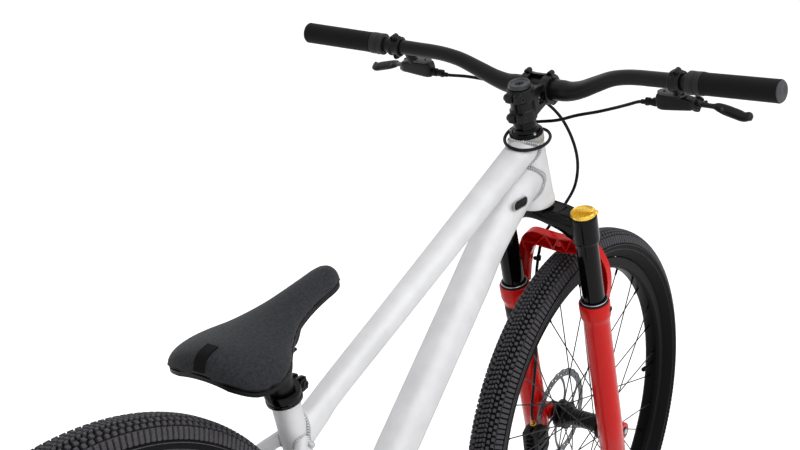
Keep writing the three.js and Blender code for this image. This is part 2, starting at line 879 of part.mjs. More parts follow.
// How far out a stay runs, from its root past the tyre to its end.
function staySpread(root, tyreSide, end, share) {
  return share <= 1 ? mixed(root, tyreSide, share) : mixed(tyreSide, end, share - 1);
}

function chainstayPath(side) {
  return chainstayPlaceShares.map((share, i) => {
    const at = bottomBracket.clone().lerp(rearAxle, share);
    const spread = chainstaySpreadShares[i];
    at.z += chainstayRise * (1 - share);
    at.y = side * staySpread(chainstayRootY, chainstayTyreY, chainstayEndY, spread);
    return { at, wide: chainstayHalfWidth, tall: chainstayHalfHeight * chainstayHeightShares[i] };
  });
}

function seatstayPath(side) {
  const top = onSeatTube(seatstayTopDistance);
  const low = rearAxle.clone();
  low.x += dropoutNeck / 3;
  low.z += dropoutRadius / 2;
  return seatstayPlaceShares.map((share, i) => {
    const at = top.clone().lerp(low, share);
    const spread = seatstaySpreadShares[i];
    const size = seatstaySizeShares[i];
    at.y = side * staySpread(seatstayRootY, seatstayTyreY, seatstayEndY, spread);
    return { at, wide: seatstayHalfWidth * size, tall: seatstayHalfHeight * size };
  });
}

// The tube of a stay, open at its front end and closed where it meets the dropout.
function stay(path, grow = 0) {
  const outer = oval(path, upward, smallSides, grow);
  if (grow > 0) return outer;
  const mouth = { ...path[0], at: path[0].at.clone().lerp(path[1].at, stayMouthShare) };
  return outer.subtract(oval([mouth, ...path.slice(1, -1)], upward, smallSides, -stayWall));
}

function chainstay(side) {
  return stay(chainstayPath(side))
    .subtract(shellBody(weldGap))
    .subtract(seatTubeBody(weldGap))
    .add(dropout(side));
}

function seatstay(side) {
  return stay(seatstayPath(side))
    .subtract(seatTubeBody(weldGap))
    .subtract(stay(chainstayPath(side), weldGap))
    .subtract(dropoutGuard(side));
}

function dropoutGuard(side) {
  const inner = rearHubWidth / 2 - weldGap;
  const outer = rearHubWidth / 2 + dropoutThickness + weldGap;
  const across = (y) => new THREE.Vector3(rearAxle.x, side * y, rearAxle.z);
  const disk = rod(across(inner), across(outer), dropoutRadius + weldGap);
  const neck = block(
    [dropoutNeck + weldGap, outer - inner, 2 * (dropoutNeckHalfHeight + weldGap)],
    [rearAxle.x + (dropoutNeck + weldGap) / 2, side * (inner + outer) / 2, rearAxle.z],
  );
  return disk.add(neck);
}

function seatClamp() {
  const low = seatTubeLength - collarHeight;
  const ring = (from, to, radius) => rod(onSeatTube(from), onSeatTube(to), radius);
  const body = ring(low, seatTubeLength + collarLip, collarRadius);
  const earRun = collarRadius + collarEarLength - overrun;
  const earLow = low + collarLip;
  const earHeight = collarHeight - collarLip;
  const earCentre = onSeatTube(earLow + earHeight / 2, earRun / 2);
  const ears = block([earRun, collarEarWidth, earHeight], earCentre.toArray(),
    seatTubeAngle - Math.PI / 2);
  const slit = block([2 * earRun, collarSlit, 2 * collarHeight + overrun],
    onSeatTube(low + collarHeight / 2, earRun).toArray(), seatTubeAngle - Math.PI / 2);
  const bore = ring(low - overrun, seatTubeLength + weldGap, seatTubeRadius + weldGap);
  const throat = ring(low, seatTubeLength + collarHeight, postRadius + slideGap);
  return body.add(ears).subtract(bore).subtract(throat).subtract(slit);
}

function bottomBracketBearings() {
  const half = shellWidth / 2 + weldGap;
  const end = half + cupLength;
  const sleeve = shellBoreRadius - weldGap - slideGap;
  return turned([
    [cupBoreRadius, -end], [cupRadius, -end], [cupRadius, -half], [sleeve, -half],
    [sleeve, half], [cupRadius, half], [cupRadius, end], [cupBoreRadius, end],
  ], hubSides);
}

function rearAxleBody() {
  const face = rearHubWidth / 2 + dropoutThickness + weldGap;
  const nut = face + axleNutLength;
  return turned([
    [0, -nut], [axleNutRadius, -nut], [axleNutRadius, -face], [rearAxleRadius, -face],
    [rearAxleRadius, face], [axleNutRadius, face], [axleNutRadius, nut], [0, nut],
  ], hubSides);
}

function headsetLowerBearing() {
  const low = headTubeBottom + bearingLip;
  return rod(onSteering(low), onSteering(low + bearingHeight), bearingOuterRadius)
    .subtract(rod(
      onSteering(low - overrun),
      onSteering(low + bearingHeight + overrun),
      bearingBore,
    ));
}

// Wheels, turned about Y through their own middle

const facetTurn = Math.PI / wheelSides;

function tyre() {
  const tread = wheelRadius / Math.cos(facetTurn);
  const side = tread - tyreSideDepth;
  const beadInner = tyreBeadHalfWidth - tyreBeadThickness;
  const casingInner = tyreHalfWidth - tyreCasingThickness;
  const ceiling = tread - tyreTreadThickness;
  return turned([
    [beadSeatRadius, -beadInner],
    [beadSeatRadius, -tyreBeadHalfWidth],
    [rimFlangeRadius + weldGap, -tyreBeadHalfWidth],
    [side, -tyreHalfWidth],
    [tread - tyreShoulderDrop, -tyreShoulderHalfWidth],
    [tread, -tyreFlatHalfWidth],
    [tread, tyreFlatHalfWidth],
    [tread - tyreShoulderDrop, tyreShoulderHalfWidth],
    [side, tyreHalfWidth],
    [rimFlangeRadius + weldGap, tyreBeadHalfWidth],
    [beadSeatRadius, tyreBeadHalfWidth],
    [beadSeatRadius, beadInner],
    [side, casingInner],
    [ceiling, tyreShoulderHalfWidth / 2],
    [ceiling, -tyreShoulderHalfWidth / 2],
    [side, -casingInner],
  ], wheelSides, facetTurn);
}

function rim() {
  const seat = beadSeatRadius - weldGap;
  const lip = rimHalfWidth - rimFlangeThickness;
  return turned([
    [rimInnerRadius, -rimInnerHalfWidth], [rimSideRadius, -rimHalfWidth],
    [rimFlangeRadius, -rimHalfWidth], [rimFlangeRadius, -lip], [seat, -lip],
    [seat, lip], [rimFlangeRadius, lip], [rimFlangeRadius, rimHalfWidth],
    [rimSideRadius, rimHalfWidth], [rimInnerRadius, rimInnerHalfWidth],
  ], wheelSides, facetTurn);
}

// A ring of elbows round each hub flange, joined by a web and a thin sleeve on the hub shell.
function spokeCarrier(leftFlangeY, rightFlangeY, bodyRadius) {
  const half = spokeRingThickness / 2;
  const round = Math.cos(Math.PI / hubSides);
  const inner = (hubFlangeRadius + weldGap) / round;
  const outer = inner + spokeRingDepth;
  const sleeveInner = (bodyRadius + weldGap) / round;
  const sleeveOuter = sleeveInner + spokeWebThickness;
  const [left, right] = [leftFlangeY, rightFlangeY];
  const web = half + spokeWebThickness;
  return turned([
    [inner, left + half], [outer, left + half], [outer, left - web], [sleeveOuter, left - web],
    [sleeveOuter, right + web], [outer, right + web], [outer, right - half], [inner, right - half],
    [inner, right + half], [sleeveInner, right + half], [sleeveInner, left - half],
    [inner, left - half],
  ], hubSides);
}

// Every spoke of a wheel, laced three times crossed, with crossing spokes side by side.
function spokes(leftFlangeY, rightFlangeY, bodyRadius) {
  const inner = (hubFlangeRadius + weldGap) / Math.cos(Math.PI / hubSides);
  const root = inner + spokeRingDepth / 2;
  const reach = rimInnerRadius * Math.cos(facetTurn) - weldGap;
  let wheel = spokeCarrier(leftFlangeY, rightFlangeY, bodyRadius);
  for (let k = 0; k < spokeCount; k += 1) {
    const rimAngle = (2 * Math.PI * k) / spokeCount;
    const side = k % 2 === 0 ? 1 : -1;
    const lead = Math.floor(k / 2) % 2 === 0 ? 1 : -1;
    const hubAngle = rimAngle + lead * spokeLead;
    const flangeY = side > 0 ? leftFlangeY : rightFlangeY;
    const lift = lead * (spokeRadius + spokePassGap);
    const from = [root * Math.cos(hubAngle), flangeY + lift, root * Math.sin(hubAngle)];
    const rimY = side * spokeRingThickness + lift;
    const to = [reach * Math.cos(rimAngle), rimY, reach * Math.sin(rimAngle)];
    wheel = wheel.add(rod(from, to, spokeRadius, spokeSides));
  }
  return wheel;
}

function hub(width, bore, capRadius, bodyRadius, leftFlangeY, rightFlangeY) {
  const end = width / 2 - weldGap;
  const half = spokeRingThickness / 2 - weldGap;
  const [left, right] = [leftFlangeY, rightFlangeY];
  return turned([
    [bore, -end], [capRadius, -end], [capRadius, right - half - capRadius],
    [bodyRadius, right - half], [hubFlangeRadius, right - half], [hubFlangeRadius, right + half],
    [bodyRadius, right + half], [bodyRadius, left - half],
    [hubFlangeRadius, left - half], [hubFlangeRadius, left + half], [bodyRadius, left + half],
    [capRadius, left + half + capRadius], [capRadius, end], [bore, end],
  ], hubSides);
}

function rotor(y, capRadius) {
  const band = plate(withHole(disc(rotorRadius, wheelSides),
    disc(rotorRadius - rotorBandDepth, wheelSides)), rotorThickness, y);
  const bore = (capRadius + slideGap) / Math.cos(Math.PI / hubSides);
  const middle = plate(withHole(disc(rotorMountRadius, hubSides), disc(bore, hubSides)),
    rotorThickness, y);
  let sum = band.add(middle);
  const from = rotorMountRadius - rotorMountDepth / 2;
  const to = rotorRadius - rotorBandDepth / 2;
  for (let i = 0; i < rotorArmCount; i += 1) {
    const angle = (2 * Math.PI * i) / rotorArmCount;
    const start = [from * Math.cos(angle), from * Math.sin(angle)];
    const sweep = angle + rotorArmSweep;
    const stop = [to * Math.cos(sweep), to * Math.sin(sweep)];
    sum = sum.add(plate(bar(start, stop, rotorArmWidth), rotorThickness, y));
  }
  return sum;
}

function withHole(shape, hole) {
  shape.holes.push(new THREE.Path(hole.getPoints()));
  return shape;
}

// A straight strip between two points of a plane.
function bar(start, stop, width) {
  const along = new THREE.Vector2(stop[0] - start[0], stop[1] - start[1]).normalize();
  const [x, y] = [(-along.y * width) / 2, (along.x * width) / 2];
  return new THREE.Shape([
    new THREE.Vector2(start[0] + x, start[1] + y),
    new THREE.Vector2(start[0] - x, start[1] - y),
    new THREE.Vector2(stop[0] - x, stop[1] - y),
    new THREE.Vector2(stop[0] + x, stop[1] + y),
  ]);
}

// Drivetrain

function pitchRadius(teeth) {
  return chainPitch / (2 * Math.sin(Math.PI / teeth));
}

function sprocketOutline(teeth) {
  const pitch = pitchRadius(teeth);
  const outline = [];
  for (let i = 0; i < teeth; i += 1) {
    for (const [turnShare, heightShare] of toothShares) {
      const angle = (2 * Math.PI * (i + turnShare)) / teeth;
      const radius = pitch + (heightShare > 0 ? toothHeight : -toothRootDepth);
      outline.push(new THREE.Vector2(radius * Math.cos(angle), radius * Math.sin(angle)));
    }
  }
  return new THREE.Shape(outline);
}

function chainring() {
  const shape = withHole(sprocketOutline(chainringTeeth), disc(chainringHoleRadius, tubeSides));
  let ring = plate(shape, chainringThickness, 0);
  for (let i = 0; i < rotorArmCount; i += 1) {
    const angle = (2 * Math.PI * i) / rotorArmCount;
    const x = chainringWindowCircle * Math.cos(angle);
    const z = chainringWindowCircle * Math.sin(angle);
    const half = chainringThickness;
    ring = ring.subtract(rod([x, -half, z], [x, half, z], chainringWindowRadius, smallSides));
  }
  return ring;
}

function cog() {
  const bore = (driverRadius + spinGap) / Math.cos(Math.PI / tubeSides);
  return plate(withHole(sprocketOutline(cogTeeth), disc(bore, tubeSides)), cogThickness, 0);
}

// The chain as one band round both sprockets, grooved where their teeth run in it.
function chain() {
  const front = bottomBracket;
  const back = rearAxle;
  const [frontRadius, backRadius] = [pitchRadius(chainringTeeth), pitchRadius(cogTeeth)];
  const centres = Math.hypot(front.x - back.x, front.z - back.z);
  const slope = Math.atan2(front.z - back.z, front.x - back.x);
  const lean = Math.acos((frontRadius - backRadius) / centres);
  const steps = tubeSides;
  const loop = (grow) => {
    const points = [];
    const arc = (centre, radius, from, to) => {
      for (let i = 0; i <= steps; i += 1) {
        const angle = mixed(from, to, i / steps);
        points.push(new THREE.Vector2(
          centre.x + (radius + grow) * Math.cos(angle),
          centre.z + (radius + grow) * Math.sin(angle),
        ));
      }
    };
    arc(front, frontRadius, slope - lean, slope + lean);
    arc(back, backRadius, slope + lean, slope - lean + 2 * Math.PI);
    return points;
  };
  const shape = new THREE.Shape(loop(chainHeight / 2));
  shape.holes.push(new THREE.Path(loop(-chainHeight / 2)));
  const groove = (centre, radius, thickness) => rod(
    [centre.x, chainPlaneY - thickness / 2 - weldGap, centre.z],
    [centre.x, chainPlaneY + thickness / 2 + weldGap, centre.z],
    (radius + toothHeight + weldGap) / Math.cos(Math.PI / tubeSides),
    tubeSides,
  );
  return plate(shape, chainWidth, chainPlaneY)
    .subtract(groove(front, frontRadius, chainringThickness))
    .subtract(groove(back, backRadius, cogThickness));
}

// A crank arm runs forward or back from the bottom bracket and carries its pedal's spindle.
function crank(side, facing) {
  const inner = crankInnerY;
  const root = inner + crankRootHalfThickness;
  const tip = inner + crankOutset + crankTipHalfThickness;
  const arm = oval(
    crankStationShares.map(([place, outward, thickness, height]) => ({
      at: [facing * crankLength * place, side * mixed(root, tip, outward), 0],
      wide: crankRootHalfThickness * thickness,
      tall: crankRootHalfHeight * height,
    })),
    upward, smallSides, 0, armRoundShare,
  );
  const spindle = rod(
    [facing * crankLength, side * tip, 0],
    [facing * crankLength, side * (tip + pedalSpindleLength), 0],
    pedalSpindleRadius,
    hubSides,
  );
  return arm.add(spindle);
}

function leftCrank() {
  const end = crankInnerY + 2 * crankRootHalfThickness - overrun;
  return crank(1, -1).add(rod([0, crankInnerY + overrun, 0], [0, -end, 0], spindleRadius));
}

function rightCrank() {
  const face = chainPlaneY - chainringThickness / 2 - weldGap;
  const seat = chainringHoleRadius * Math.cos(Math.PI / tubeSides) - weldGap;
  const boss = rod([0, -crankInnerY - overrun, 0], [0, face, 0], crankBossRadius + overrun)
    .add(rod([0, face - overrun, 0], [0, chainPlaneY + chainringThickness, 0], seat));
  const through = crankInnerY + 2 * crankRootHalfThickness + overrun;
  const hole = rod(
    [0, 0, 0],
    [0, -through, 0],
    (spindleRadius + weldGap) / Math.cos(Math.PI / tubeSides),
  );
  return crank(-1, 1).add(boss).subtract(hole);
}

function pedal(side) {
  const tip = crankInnerY + crankOutset + 2 * crankTipHalfThickness;
  const start = tip + pedalStandoff - crankTipHalfThickness;
  const middle = start + pedalWidth / 2;
  const frame = block([pedalLength, pedalWidth, pedalThickness], [0, side * middle, 0]);
  const windowLength = pedalLength / 2 - pedalRim - pedalBossRadius - overrun;
  const windowWidth = (pedalWidth - 3 * pedalRim) / 2;
  let body = frame;
  for (const x of [-1, 1]) {
    for (const y of [-1, 1]) {
      body = body.subtract(block([windowLength, windowWidth, pedalThickness + overrun], [
        x * (pedalLength / 2 - pedalRim - windowLength / 2),
        side * middle + y * (windowWidth + pedalRim) / 2,
        0,
      ]));
    }
  }
  const bore = rod([0, side * (start - overrun), 0],
    [0, side * (tip - crankTipHalfThickness + pedalSpindleLength + overrun), 0],
    pedalBoreRadius, hubSides);
  return body.subtract(bore);
}

// Saddle, in its own frame: X forward along the saddle, origin between the rails at the clamp

function saddleSection([lengthShare, widthShare, droopShare, thicknessShare]) {
  const width = saddleHalfWidth * widthShare;
  return {
    x: saddleTailX + saddleLength * lengthShare,
    width,
    thickness: saddleThickness * thicknessShare,
    low: (y) => saddleBaseHeight - saddleDroop * droopShare * (y / width) ** 2,
  };
}

function saddlePad() {
  const rings = saddleStationShares.map(saddleSection).map((section) => (
    Array.from({ length: saddleSides }, (_, k) => {
      const angle = (2 * Math.PI * k) / saddleSides;
      const c = Math.cos(angle);
      const s = Math.sin(angle);
      const y = section.width * Math.sign(c) * Math.abs(c) ** padSideRoundShare;
      const rise = s > 0 ? section.thickness * s ** padTopRoundShare : 0;
      return new THREE.Vector3(section.x, y, section.low(y) + rise);
    })
  ));
  return skin(rings);
}

function saddleBase() {
  const sections = saddleStationShares.slice(1, -1).map(saddleSection);
  const half = saddleSides / 3;
  const rings = sections.map((section) => {
    const reach = section.width - saddleBaseInset;
    const top = [];
    const bottom = [];
    for (let k = 0; k <= half; k += 1) {
      const y = mixed(-reach, reach, k / half);
      const height = section.low(y) - saddleBaseGap;
      top.push(new THREE.Vector3(section.x, y, height));
      bottom.unshift(new THREE.Vector3(section.x, y, height - saddleBaseThickness));
    }
    return [...top, ...bottom];
  });
  return skin(rings);
}

// One rod bent round at the nose, running down to the clamp and up to the tail of the base.
function saddleRails() {
  const under = saddleBaseHeight - saddleBaseThickness - railRadius - railSeatDrop;
  const noseX = saddleTailX + saddleLength * railNoseShare;
  const dropX = postHeadLength / 2 + railFrontRoom;
  const backX = -postHeadLength / 2 - railBackRoom;
  const tailX = saddleTailX + saddleLength * railTailShare;
  const noseHalf = railHalfSpan * railNoseSpanShare;
  const tailUnder = under - railTailDrop;
  const half = (side) => [
    [tailX, side * railHalfSpan * railTailSpanShare, tailUnder],
    [(tailX + backX) / 2, side * railHalfSpan * railBendSpanShare, under / 2],
    [backX, side * railHalfSpan, 0],
    [mixed(backX, dropX, railStraightShare), side * railHalfSpan, 0],
    [mixed(dropX, backX, railStraightShare), side * railHalfSpan, 0],
    [dropX, side * railHalfSpan, 0],
    [(dropX + noseX) / 2, side * railHalfSpan * railDropSpanShare, under / 2],
    [noseX, side * noseHalf, under],
  ];
  const nose = [noseX + noseHalf, 0, under];
  const route = [...half(1), nose, ...half(-1).reverse()];
  return strand(route, railRadius, smallSides, saddleSides + saddleSides / 4);
}

function seatpost() {
  const top = seatTubeLength + railRise;
  const tube = rod(onSeatTube(seatTubeLength - postDepth), onSeatTube(top - postHeadHeight / 2),
    postRadius);
  const bore = rod(onSeatTube(seatTubeLength - postDepth - overrun),
    onSeatTube(top - postHeadHeight * 2), postRadius - tubeWall);
  const centre = onSeatTube(top);
  const head = block([postHeadLength, postHeadWidth, postHeadHeight], centre.toArray(), -saddlePitch);
  const along = new THREE.Vector3(Math.cos(saddlePitch), 0, Math.sin(saddlePitch));
  let body = tube.add(head).subtract(bore);
  for (const side of [-1, 1]) {
    const middle = centre.clone().addScaledVector(sideways, side * railHalfSpan);
    body = body.subtract(rod(
      middle.clone().addScaledVector(along, -postHeadLength),
      middle.clone().addScaledVector(along, postHeadLength),
      (railRadius + weldGap) / Math.cos(Math.PI / smallSides),
      smallSides,
    ));
  }
  return body;
}

// Fork, in the steering frame: forward, left, up the steering axis

function stanchion(side) {
  const low = legBoreBottom + forkTravel + stanchionFootRoom;
  const foot = [stanchionForward, side * stanchionSpread, low];
  const top = [stanchionForward, side * stanchionSpread, stanchionTop];
  const bore = [stanchionForward, side * stanchionSpread, stanchionTop - tubeWall];
  return rod(foot, top, stanchionRadius)
    .subtract(rod([foot[0], foot[1], foot[2] - overrun], bore, stanchionRadius - tubeWall));
}

function forkCrown() {
  const arms = oval([
    { at: [stanchionForward, -stanchionSpread, crownClampBottom + crownClampRadius],
      wide: crownClampRadius * crownArmWidthShare, tall: crownClampRadius * crownArmHeightShare },
    { at: [crownShoulderForward, -crownShoulderY, crownShoulderDistance],
      wide: crownShoulderHalfDepth, tall: crownShoulderHalfHeight },
    { at: [0, 0, crownMiddleDistance], wide: crownHalfDepth, tall: crownMiddleHalfHeight },
    { at: [crownShoulderForward, crownShoulderY, crownShoulderDistance],
      wide: crownShoulderHalfDepth, tall: crownShoulderHalfHeight },
    { at: [stanchionForward, stanchionSpread, crownClampBottom + crownClampRadius],
      wide: crownClampRadius * crownArmWidthShare, tall: crownClampRadius * crownArmHeightShare },
  ], upward, smallSides, 0, armRoundShare);
  const race = rod([0, 0, crownMiddleDistance], [0, 0, crownRaceDistance], crownHalfDepth);
  const base = rod([0, 0, crownMiddleDistance], [0, 0, crownRaceDistance + steererBaseLength],
    steererBaseRadius, tubeSides, steererRadius);
  const column = rod([0, 0, crownMiddleDistance], [0, 0, steererTop], steererRadius);
  let body = arms.add(race).add(base).add(column);
  for (const side of [-1, 1]) {
    const place = (distance) => [stanchionForward, side * stanchionSpread, distance];
    const lift = side > 0 ? tubeWall : 0;
    body = body
      .add(rod(place(crownClampBottom), place(stanchionTop + lift), crownClampRadius))
      .subtract(rod(place(crownClampBottom - overrun), place(stanchionTop + weldGap),
        (stanchionRadius + weldGap) / Math.cos(Math.PI / tubeSides)))
      .subtract(rod(place(stanchionTop + lift), place(stanchionTop + crownHalfDepth),
        (knobRadius + spinGap) / Math.cos(Math.PI / tubeSides)));
  }
  const bore = rod([0, 0, crownMiddleDistance - 2 * crownClampRadius],
    [0, 0, steererTop + overrun], steererBore);
  return body.subtract(bore);
}

function dampingKnob() {
  const base = stanchionTop + 2 * weldGap;
  const at = (distance, forward = 0) => (
    [stanchionForward + forward, -stanchionSpread, base + distance]
  );
  const dome = rod(at(0), at(knobHeight / 2), knobRadius)
    .add(rod(at(knobHeight / 2), at(knobHeight), knobRadius, tubeSides, knobTopRadius));
  const fin = block([knobFinLength, knobFinWidth, knobFinHeight],
    at(knobHeight + knobFinHeight / 2 - overrun));
  const tab = block([knobFinWidth * 2, knobFinWidth, knobHeight], at(knobHeight / 2, knobRadius));
  return dome.add(fin).add(tab);
}

function legPoint(side, distance, forward = stanchionForward) {
  return [forward, side * stanchionSpread, distance];
}

function forkLeg(side) {
  const collarLow = legTop - legCollarHeight;
  const tube = rod(legPoint(side, legBottom), legPoint(side, legTop), legFootRadius, tubeSides,
    legRadius);
  const flare = rod(legPoint(side, collarLow - legCollarTaper), legPoint(side, collarLow),
    legRadius, tubeSides, legCollarRadius);
  const collar = rod(legPoint(side, collarLow), legPoint(side, legTop), legCollarRadius);
  const outer = lugOuterY;
  const lug = rod([forkOffset, side * lugInnerY, 0], [forkOffset, side * outer, 0], lugRadius);
  const web = block([forkOffset - stanchionForward, outer - lugInnerY, lugWebHeight],
    [(stanchionForward + forkOffset) / 2, (side * (lugInnerY + outer)) / 2, 0]);
  return tube.add(flare).add(collar).add(lug).add(web);
}

function archPath() {
  const half = archSpanShares.map((share, i) => ({
    y: archSpan * share,
    s: mixed(archRootDistance, archTop, archRiseShares[i]),
    forward: mixed(archRootForward, archForward, archForwardShares[i]),
    height: archHalfHeight * archHeightShares[i],
  }));
  const station = (side) => ({ y, s, forward, height }) => ({
    at: [forward, side * y, s], wide: height, tall: archHalfDepth,
  });
  return [...half.map(station(1)), ...half.map(station(-1)).reverse()];
}

function caliperPosts() {
  const centre = caliperPlace();
  const along = caliperTangent();
  return [-1, 1].map((end) => {
    const run = end * (caliperLength / 2 - caliperEarRadius);
    const x = centre.x + along.x * run;
    const z = centre.z + along.z * run;
    const y = frontRotorY + caliperWidth / 2 + weldGap + caliperEarRadius;
    return rod([x, y, z], legPoint(1, z), caliperEarRadius, smallSides);
  });
}

function forkLowers() {
  const across = new THREE.Vector3(1, 0, 0);
  let body = oval(archPath(), across, smallSides, 0, castingRoundShare);
  for (const side of [-1, 1]) body = body.add(forkLeg(side));
  for (const post of caliperPosts()) body = body.add(post);
  for (const side of [-1, 1]) {
    body = body.subtract(rod(legPoint(side, legBoreBottom), legPoint(side, legTop + overrun),
      legBore / Math.cos(Math.PI / tubeSides)));
    body = body.subtract(rod(legPoint(side, legTop), legPoint(side, legTop + 2 * wiperHeight),
      wiperOuterRadius + weldGap));
  }
  const reach = lugOuterY + overrun;
  return body.subtract(rod([forkOffset, -reach, 0], [forkOffset, reach, 0],
    (frontAxleRadius + weldGap) / Math.cos(Math.PI / tubeSides)));
}

function wiperSeal(side) {
  const bore = (stanchionRadius + weldGap) / Math.cos(Math.PI / tubeSides);
  const low = legTop + weldGap;
  return rod(legPoint(side, low), legPoint(side, low + wiperHeight), wiperOuterRadius, tubeSides,
    wiperLipRadius)
    .subtract(rod(legPoint(side, low - overrun), legPoint(side, low + wiperHeight + overrun), bore));
}

function frontAxleBody() {
  const half = frontAxleLength / 2;
  const head = rod([0, half, 0], [0, half + frontAxleHeadLength, 0], frontAxleHeadRadius);
  return rod([0, -half, 0], [0, half + overrun / 2, 0], frontAxleRadius).add(head);
}

// Places on the front rotor, in the steering frame
function caliperPlace() {
  return new THREE.Vector3(
    forkOffset + caliperCentreRadius * Math.cos(frontCaliperAngle),
    frontRotorY,
    caliperCentreRadius * Math.sin(frontCaliperAngle),
  );
}

function caliperTangent() {
  return new THREE.Vector3(-Math.sin(frontCaliperAngle), 0, Math.cos(frontCaliperAngle));
}

// A caliper over a rotor whose middle is at the origin, lying at an angle round it.
function caliper(length, depth, rotorY, angle, radius) {
  const centre = [radius * Math.cos(angle), rotorY, radius * Math.sin(angle)];
  const body = block([depth, caliperWidth, length], centre, -angle);
  const slot = plate(disc(rotorRadius + spinGap, wheelSides), caliperSlot, rotorY);
  return body.subtract(slot);
}

function hosePort(from, to, radius) {
  return rod(from, to, radius, smallSides);
}

function frontCaliper() {
  const tip = vector(frontHoseRoute[frontHoseRoute.length - 1]);
  tip.x -= forkOffset;
  const centre = caliperPlace();
  centre.x -= forkOffset;
  const down = centre.clone().sub(tip).normalize();
  const mouth = tip.clone().addScaledVector(down, weldGap);
  const root = mouth.clone().addScaledVector(down, caliperDepth);
  return caliper(caliperLength, caliperDepth, frontRotorY, frontCaliperAngle, caliperCentreRadius)
    .add(hosePort(mouth, root, caliperPortRadius)
      .subtract(plate(disc(rotorRadius + spinGap, wheelSides), caliperSlot, frontRotorY)));
}

function rearCaliper() {
  const tip = vector(rearHoseRoute[rearHoseRoute.length - 1]).sub(rearAxle);
  const centre = new THREE.Vector3(
    rearCaliperCentreRadius * Math.cos(rearCaliperAngle),
    rearRotorY,
    rearCaliperCentreRadius * Math.sin(rearCaliperAngle),
  );
  const down = centre.clone().sub(tip).normalize();
  const mouth = tip.clone().addScaledVector(down, weldGap);
  const body = caliper(rearCaliperLength, rearCaliperDepth, rearRotorY, rearCaliperAngle,
    rearCaliperCentreRadius);
  return body
    .add(hosePort(mouth, mouth.clone().addScaledVector(down, caliperPortLength), caliperPortRadius))
    .subtract(plate(disc(rotorRadius + spinGap, wheelSides), caliperSlot, rearRotorY));
}

// Cockpit, in the steering frame

function barPoint(share) {
  const stations = barStationShares;
  let i = 1;
  while (i + 1 < stations.length && stations[i][0] < share) i += 1;
  const [low, high] = [stations[i - 1], stations[i]];
  const t = (share - low[0]) / (high[0] - low[0]);
  return {
    sweep: stemReach - barSweep * mixed(low[1], high[1], t),
    rise: stemBarDistance + barRise * mixed(low[2], high[2], t),
  };
}

function onBar(y) {
  const place = barPoint(Math.abs(y) / barHalfWidth);
  return new THREE.Vector3(place.sweep, y, place.rise);
}

function handlebar() {
  const half = barStationShares.map(([share, , , taper]) => ({
    at: onBar(share * barHalfWidth),
    wide: mixed(barClampRadius, barEndRadius, taper),
    tall: mixed(barClampRadius, barEndRadius, taper),
  }));
  const other = half.slice(1).map((station) => ({
    ...station,
    at: new THREE.Vector3(station.at.x, -station.at.y, station.at.z),
  }));
  return oval([...other.reverse(), ...half], upward, barSides);
}

function ringOnBar(side, innerY, outerY, radius) {
  const bore = (barEndRadius + weldGap) / Math.cos(Math.PI / tubeSides);
  const from = onBar(side * innerY);
  const to = onBar(side * outerY);
  const along = to.clone().sub(from).normalize().multiplyScalar(overrun);
  return rod(from, to, radius).subtract(rod(from.clone().sub(along), to.clone().add(along), bore));
}

function grip(side) {
  const from = onBar(side * gripInnerY);
  const to = onBar(side * gripOuterY);
  const along = to.clone().sub(from).normalize();
  const bore = (barEndRadius + weldGap) / Math.cos(Math.PI / tubeSides);
  const start = from.clone().addScaledVector(along, -overrun);
  const stop = to.clone().addScaledVector(along, -gripCapThickness);
  return rod(from, to, gripRadius).subtract(rod(start, stop, bore));
}

function gripCollar(side) {
  const ring = ringOnBar(side, gripCollarInnerY, gripInnerY - weldGap * 2, gripCollarRadius);
  const middle = onBar((side * (gripCollarInnerY + gripInnerY)) / 2);
  const low = middle.clone();
  low.z -= barEndRadius + overrun;
  low.x -= gripCollarBoltRadius;
  const end = low.clone();
  end.x += 2 * gripCollarRadius - barEndRadius;
  const boss = rod(low, end, gripCollarBoltRadius, smallSides);
  const bore = ringBore(side, gripCollarInnerY, gripInnerY);
  return ring.add(boss.subtract(bore));
}

function ringBore(side, innerY, outerY) {
  const bore = (barEndRadius + weldGap) / Math.cos(Math.PI / tubeSides);
  return rod(onBar(side * (innerY - 3 * overrun)), onBar(side * (outerY + 3 * overrun)), bore);
}

function stem() {
  const low = spacerTop + weldGap;
  const column = rod([0, 0, low], [0, 0, low + stemHeight], stemRadius);
  const neck = block([stemReach, 2 * stemNeckHalfWidth, 2 * stemNeckHalfHeight],
    [stemReach / 2, 0, stemBarDistance]);
  const half = clampWidth / 2;
  const bar = rod([stemReach, -half, stemBarDistance], [stemReach, half, stemBarDistance],
    clampRadius);
  const front = block([2 * clampRadius, clampWidth + overrun, 3 * clampRadius],
    [stemReach + clampRadius, 0, stemBarDistance]);
  const steererHole = rod([0, 0, low - overrun], [0, 0, low + stemHeight + overrun],
    (steererRadius + weldGap) / Math.cos(Math.PI / tubeSides));
  return column.add(neck).add(bar)
    .subtract(front)
    .subtract(steererHole)
    .subtract(barHole());
}

function barHole() {
  const half = clampWidth / 2 + overrun;
  return rod([stemReach, -half, stemBarDistance], [stemReach, half, stemBarDistance],
    (barClampRadius + weldGap) / Math.cos(Math.PI / tubeSides));
}

function faceplate() {
  const half = clampWidth / 2;
  const split = stemReach + faceplateSplit;
  let body = rod([stemReach, -half, stemBarDistance], [stemReach, half, stemBarDistance],
    clampRadius);
  for (const side of [-1, 1]) {
    for (const above of [-1, 1]) {
      const z = stemBarDistance + above * clampRadius;
      const y = side * (half - faceplateBoltRadius);
      body = body.add(rod([split, y, z], [split + 2 * faceplateBoltRadius, y, z],
        faceplateBoltRadius, smallSides));
    }
  }
  const back = block([4 * clampRadius, clampWidth + overrun, 4 * clampRadius],
    [split - 2 * clampRadius, 0, stemBarDistance]);
  return body.subtract(back).subtract(barHole());
}

